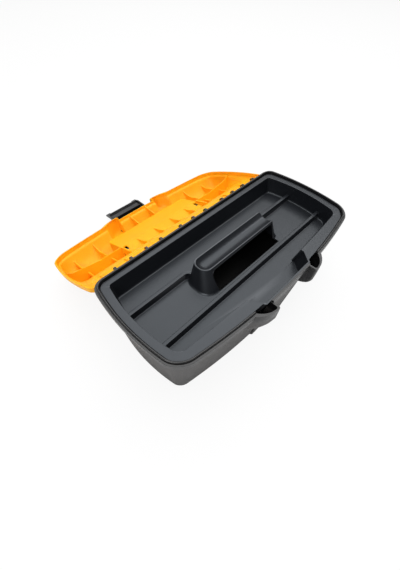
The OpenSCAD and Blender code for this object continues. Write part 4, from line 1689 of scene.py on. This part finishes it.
@dataclass
class Latch:
    """The black latch that hangs in the lid's ears. Sizes in mm."""

    finish: bpy.types.Material
    lid: Lid
    width: float = 62.0
    length: float = 55.0
    plate: float = 2.4
    barrel_wall: float = 1.6
    rim_gap: float = 0.9
    catch_down: float = 8.7
    pin_reach: float = 0.6
    open_by: float = 67.0

    def build(self) -> list[bpy.types.Object]:
        """Build and dress the latch.

        Returns:
            The latch.
        """
        w, b, n, t = self.width / 2, self.lid.pin_d / 2 + self.barrel_wall, self.length, self.plate
        y, z = self.lid.latch_pivot
        y1, catch = CASE.rim_front - self.rim_gap - y, CASE.ledge_z - self.catch_down - z
        at = np.array([y, z])
        outer = eased_polygon([[-b, 0], [-b - 1.4, -12], [-b - 2, -n * 0.55], [-b - 1.4, -n * 0.8],
                               [-b - 3.4, -n], [-b - 1.2, -n - 0.6], [y1 - 0.5, -n * 0.8],
                               [y1, -n * 0.55], [y1, -8], [b * 0.7, -b * 0.7]],
                              [0, 8, 20, 8, 0.8, 0.8, 8, 10, 3, 0], 5)
        body = Solid.push("latch_plate", outer + at, Axis.X, -w, w)
        body.join(Solid.rod("barrel", y, z, b, -w, w))
        trough = eased_polygon([[-b + 1.4, -b - 3], [-b + t - 1.5, -12], [-b + t - 2, -n * 0.55],
                                [-b + t - 1.6, -n * 0.8], [-b - 0.4, -n + 6.4], [y1 + 3, -n + 6.4],
                                [y1 + 3, -b - 3]], [2, 8, 12, 6, 1, 0, 0], 5)
        body.carve(Solid.push("trough", trough + at, Axis.X, -w + t, w - t))
        ridge = eased_polygon([[-b - 0.2, catch + 0.6], [y1 + 1.6, catch + 0.6], [y1 + 2, catch],
                               [y1 + 1.6, catch - 1], [-b - 0.2, catch - 4.5]], [0, 0.2, 0.2, 0.3, 0], 3)
        body.join(Solid.push("catch", ridge + at, Axis.X, -w + 6, w - 6))
        body.carve(Solid.block("tip", (-w + 8, y - b - 8, z - n - 3), (w - 8, y + 8, z - n + 3.2)))
        reach = CASE.guard_in + CASE.guard_t + self.pin_reach
        body.join(Solid.rod("pivot_pins", y, z, self.lid.pin_d / 2, -reach, reach))
        obj = opened(body, -self.open_by, (y, z)).finish("latch_plate", self.finish, 0.4)
        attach(obj, "latch_body")
        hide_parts("latch")
        return [obj]


@dataclass
class CarryHandle:
    """The black carrying handle folded into the lid. Sizes in mm."""

    finish: bpy.types.Material
    lid: Lid
    reach: float = 33.0
    bar_w: float = 15.0
    bar_t: float = 8.0
    rise: float = 3.4
    pin_reach: float = 1.6

    def build(self) -> list[bpy.types.Object]:
        """Build and dress the handle.

        Returns:
            The handle.
        """
        y, z = self.lid.bail_pivot
        x0, x1 = self.lid.bail_x, self.lid.bail_x + self.lid.arm_w
        at = np.array([y, z])
        w, t, d, up = self.bar_w / 2, self.bar_t / 2, self.reach, self.rise
        bar = eased_polygon([[-w + 1.8, -t], [w - 0.8, -t], [w, t], [-w, t]], [3, 3, 1.5, 1.5], 6)
        out = Solid.push("bar", bar + np.array([-d, up]) + at, Axis.X, -x1, x1)
        arm = eased_polygon([[3.2, -3.2], [3.4, 3.2], [-d, up + 3.4], [-d, up - 3.4]], [3.2, 3.2, 1, 1], 8)
        horn = eased_polygon([[-1.5, -2.5], [1.2, -2.5], [2.6, -5.6], [0, -6.8], [-1.8, -4.6]],
                             [0, 0, 0.8, 0.8, 1], 4)
        for points in (arm, horn):
            for a, b in ((x0, x1), (-x1, -x0)):
                out.join(Solid.push("arm", points + at, Axis.X, a, b))
        end = self.lid.recess_l + self.pin_reach
        for a, b in ((x0, end), (-end, -x0)):
            out.join(Solid.rod("pin", y, z, self.lid.bail_pin_d / 2, a, b))
        obj = opened(out).finish("carry_handle_bar", self.finish, 0.4)
        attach(obj, "carry_handle_body")
        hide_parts("carry_handle")
        return [obj]


# ------------------------------------------------------------------ studio


@dataclass(frozen=True)
class Lamp:
    """A soft square lamp. Metres and watts."""

    name: str
    place: tuple[float, float, float]
    aim: tuple[float, float, float]
    size: float
    power: float

    def build(self) -> None:
        """Add the lamp to the scene."""
        data = bpy.data.lights.new(self.name, "AREA")
        data.size, data.energy = self.size, self.power
        obj = bpy.data.objects.new(self.name, data)
        obj.location = self.place
        obj.rotation_euler = (Vector(self.aim) - Vector(self.place)).to_track_quat("-Z", "Y").to_euler()
        bpy.context.scene.collection.objects.link(obj)


# A wide soft sky, where faces that point up mirror it towards the camera.
SKY_LAMP = Lamp("sky_lamp", place=(0.50, 0.35, 1.80), aim=(0, 0.05, 0.05), size=2.6, power=51.0)
# Gives the short shadow to the right of the case.
KEY_LAMP = Lamp("key_lamp", place=(-1.10, -0.30, 1.15), aim=(0, 0.12, 0.05), size=0.5, power=8.0)


@dataclass
class Studio:
    """Floor, light and the photograph's camera."""

    focal_px: float = 293.09
    azimuth: float = -46.952
    elevation: float = 53.42
    roll: float = -1.855
    place: tuple[float, float, float] = (-0.20516, -0.13349, 0.34230)
    centre_px: tuple[float, float] = (200.25, 284.27)
    frame_px: tuple[int, int] = (400, 570)
    floor_half: float = 6.0
    floor_z: float = -0.0004
    floor_white: float = 0.88
    floor_shadow: float = 0.12
    world_light: float = 0.23

    def camera(self) -> None:
        """Set up the camera solved from the photograph."""
        az, el, ro = (math.radians(v) for v in (self.azimuth, self.elevation, self.roll))
        back = Vector((math.sin(az) * math.cos(el), -math.cos(az) * math.cos(el), math.sin(el)))
        right = (-back).cross(Vector((0, 0, 1))).normalized()
        down = (-back).cross(right)
        r = right * math.cos(ro) + down * math.sin(ro)
        d = -right * math.sin(ro) + down * math.cos(ro)
        cam = bpy.data.cameras.new("camera")
        w, h = self.frame_px
        cam.lens = self.focal_px / h * cam.sensor_width
        cam.shift_x = (w / 2 - self.centre_px[0]) / h
        cam.shift_y = (self.centre_px[1] - h / 2) / h
        cam.clip_start, cam.clip_end = 0.01, 20
        obj = bpy.data.objects.new("camera", cam)
        obj.matrix_world = Matrix.Translation(self.place) @ Matrix((r, -d, back)).transposed().to_4x4()
        bpy.context.scene.collection.objects.link(obj)
        bpy.context.scene.camera = obj

    def white_where_seen(self, tree: bpy.types.NodeTree, shade: bpy.types.NodeSocket,
                         out: bpy.types.NodeSocket, keep: float) -> None:
        """Show white to the camera, also through glass, and shade to the rest.

        Args:
            tree: node tree of a material or world.
            shade: the shader that lights and takes shadow.
            out: output socket.
            keep: share of the shade that stays visible.
        """
        path = tree.nodes.new("ShaderNodeLightPath")
        seen = math_node(tree, "MAXIMUM", path.outputs["Is Camera Ray"], path.outputs["Is Transmission Ray"])
        kind = "ShaderNodeEmission" if tree.nodes.get("Background") is None else "ShaderNodeBackground"
        white = tree.nodes.new(kind)
        white.inputs["Color"].default_value = (1, 1, 1, 1)
        white.inputs["Strength"].default_value = 1.0
        mix = tree.nodes.new("ShaderNodeMixShader")
        tree.links.new(math_node(tree, "MULTIPLY", seen, 1 - keep), mix.inputs[0])
        tree.links.new(shade, mix.inputs[1])
        tree.links.new(white.outputs[0], mix.inputs[2])
        tree.links.new(mix.outputs[0], out)

    def floor(self) -> None:
        """Lay the white paper under the case."""
        bm = bmesh.new()
        bmesh.ops.create_grid(bm, x_segments=2, y_segments=2, size=self.floor_half)
        mesh = bpy.data.meshes.new("floor")
        bm.to_mesh(mesh)
        bm.free()
        floor = bpy.data.objects.new("floor", mesh)
        floor.location.z = self.floor_z
        bpy.context.scene.collection.objects.link(floor)
        mat = bpy.data.materials.new("floor_paper")
        mat.use_nodes = True
        nodes = mat.node_tree.nodes
        bsdf = nodes["Principled BSDF"]
        bsdf.inputs["Base Color"].default_value = (self.floor_white, self.floor_white, self.floor_white, 1)
        bsdf.inputs["Roughness"].default_value = 0.9
        bsdf.inputs["Specular IOR Level"].default_value = 0.1
        self.white_where_seen(mat.node_tree, bsdf.outputs[0], nodes["Material Output"].inputs["Surface"],
                              self.floor_shadow)
        mesh.materials.append(mat)

    def surroundings(self) -> None:
        """Fill the world with even light that looks white."""
        world = bpy.data.worlds.new("studio")
        bpy.context.scene.world = world
        world.use_nodes = True
        nodes = world.node_tree.nodes
        bg = nodes["Background"]
        bg.inputs["Color"].default_value = (1, 1, 1, 1)
        bg.inputs["Strength"].default_value = self.world_light
        self.white_where_seen(world.node_tree, bg.outputs[0], nodes["World Output"].inputs["Surface"], 0.0)

    def build(self) -> None:
        """Make floor, world, lamps and camera."""
        bpy.context.scene.view_settings.view_transform = "Standard"
        self.floor()
        self.surroundings()
        SKY_LAMP.build()
        KEY_LAMP.build()
        self.camera()


def main() -> None:
    """Build every sub-assembly in order and report its pieces."""
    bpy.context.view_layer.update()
    skin = moulded_skin_group()
    tub_mat, tray_mat, lid_mat, black_mat = (f.build(skin) for f in (TUB_GREY, TRAY_GREY, LID_YELLOW, BLACK))
    lid = Lid(lid_mat)
    for part in (Tub(tub_mat), ToteTray(tray_mat), lid, Latch(black_mat, lid), CarryHandle(black_mat, lid)):
        for piece in part.build():
            log.info("%s: %s with %d faces", type(part).__name__, piece.name, len(piece.data.polygons))
    Studio().build()


if __name__ == "__main__":
    main()
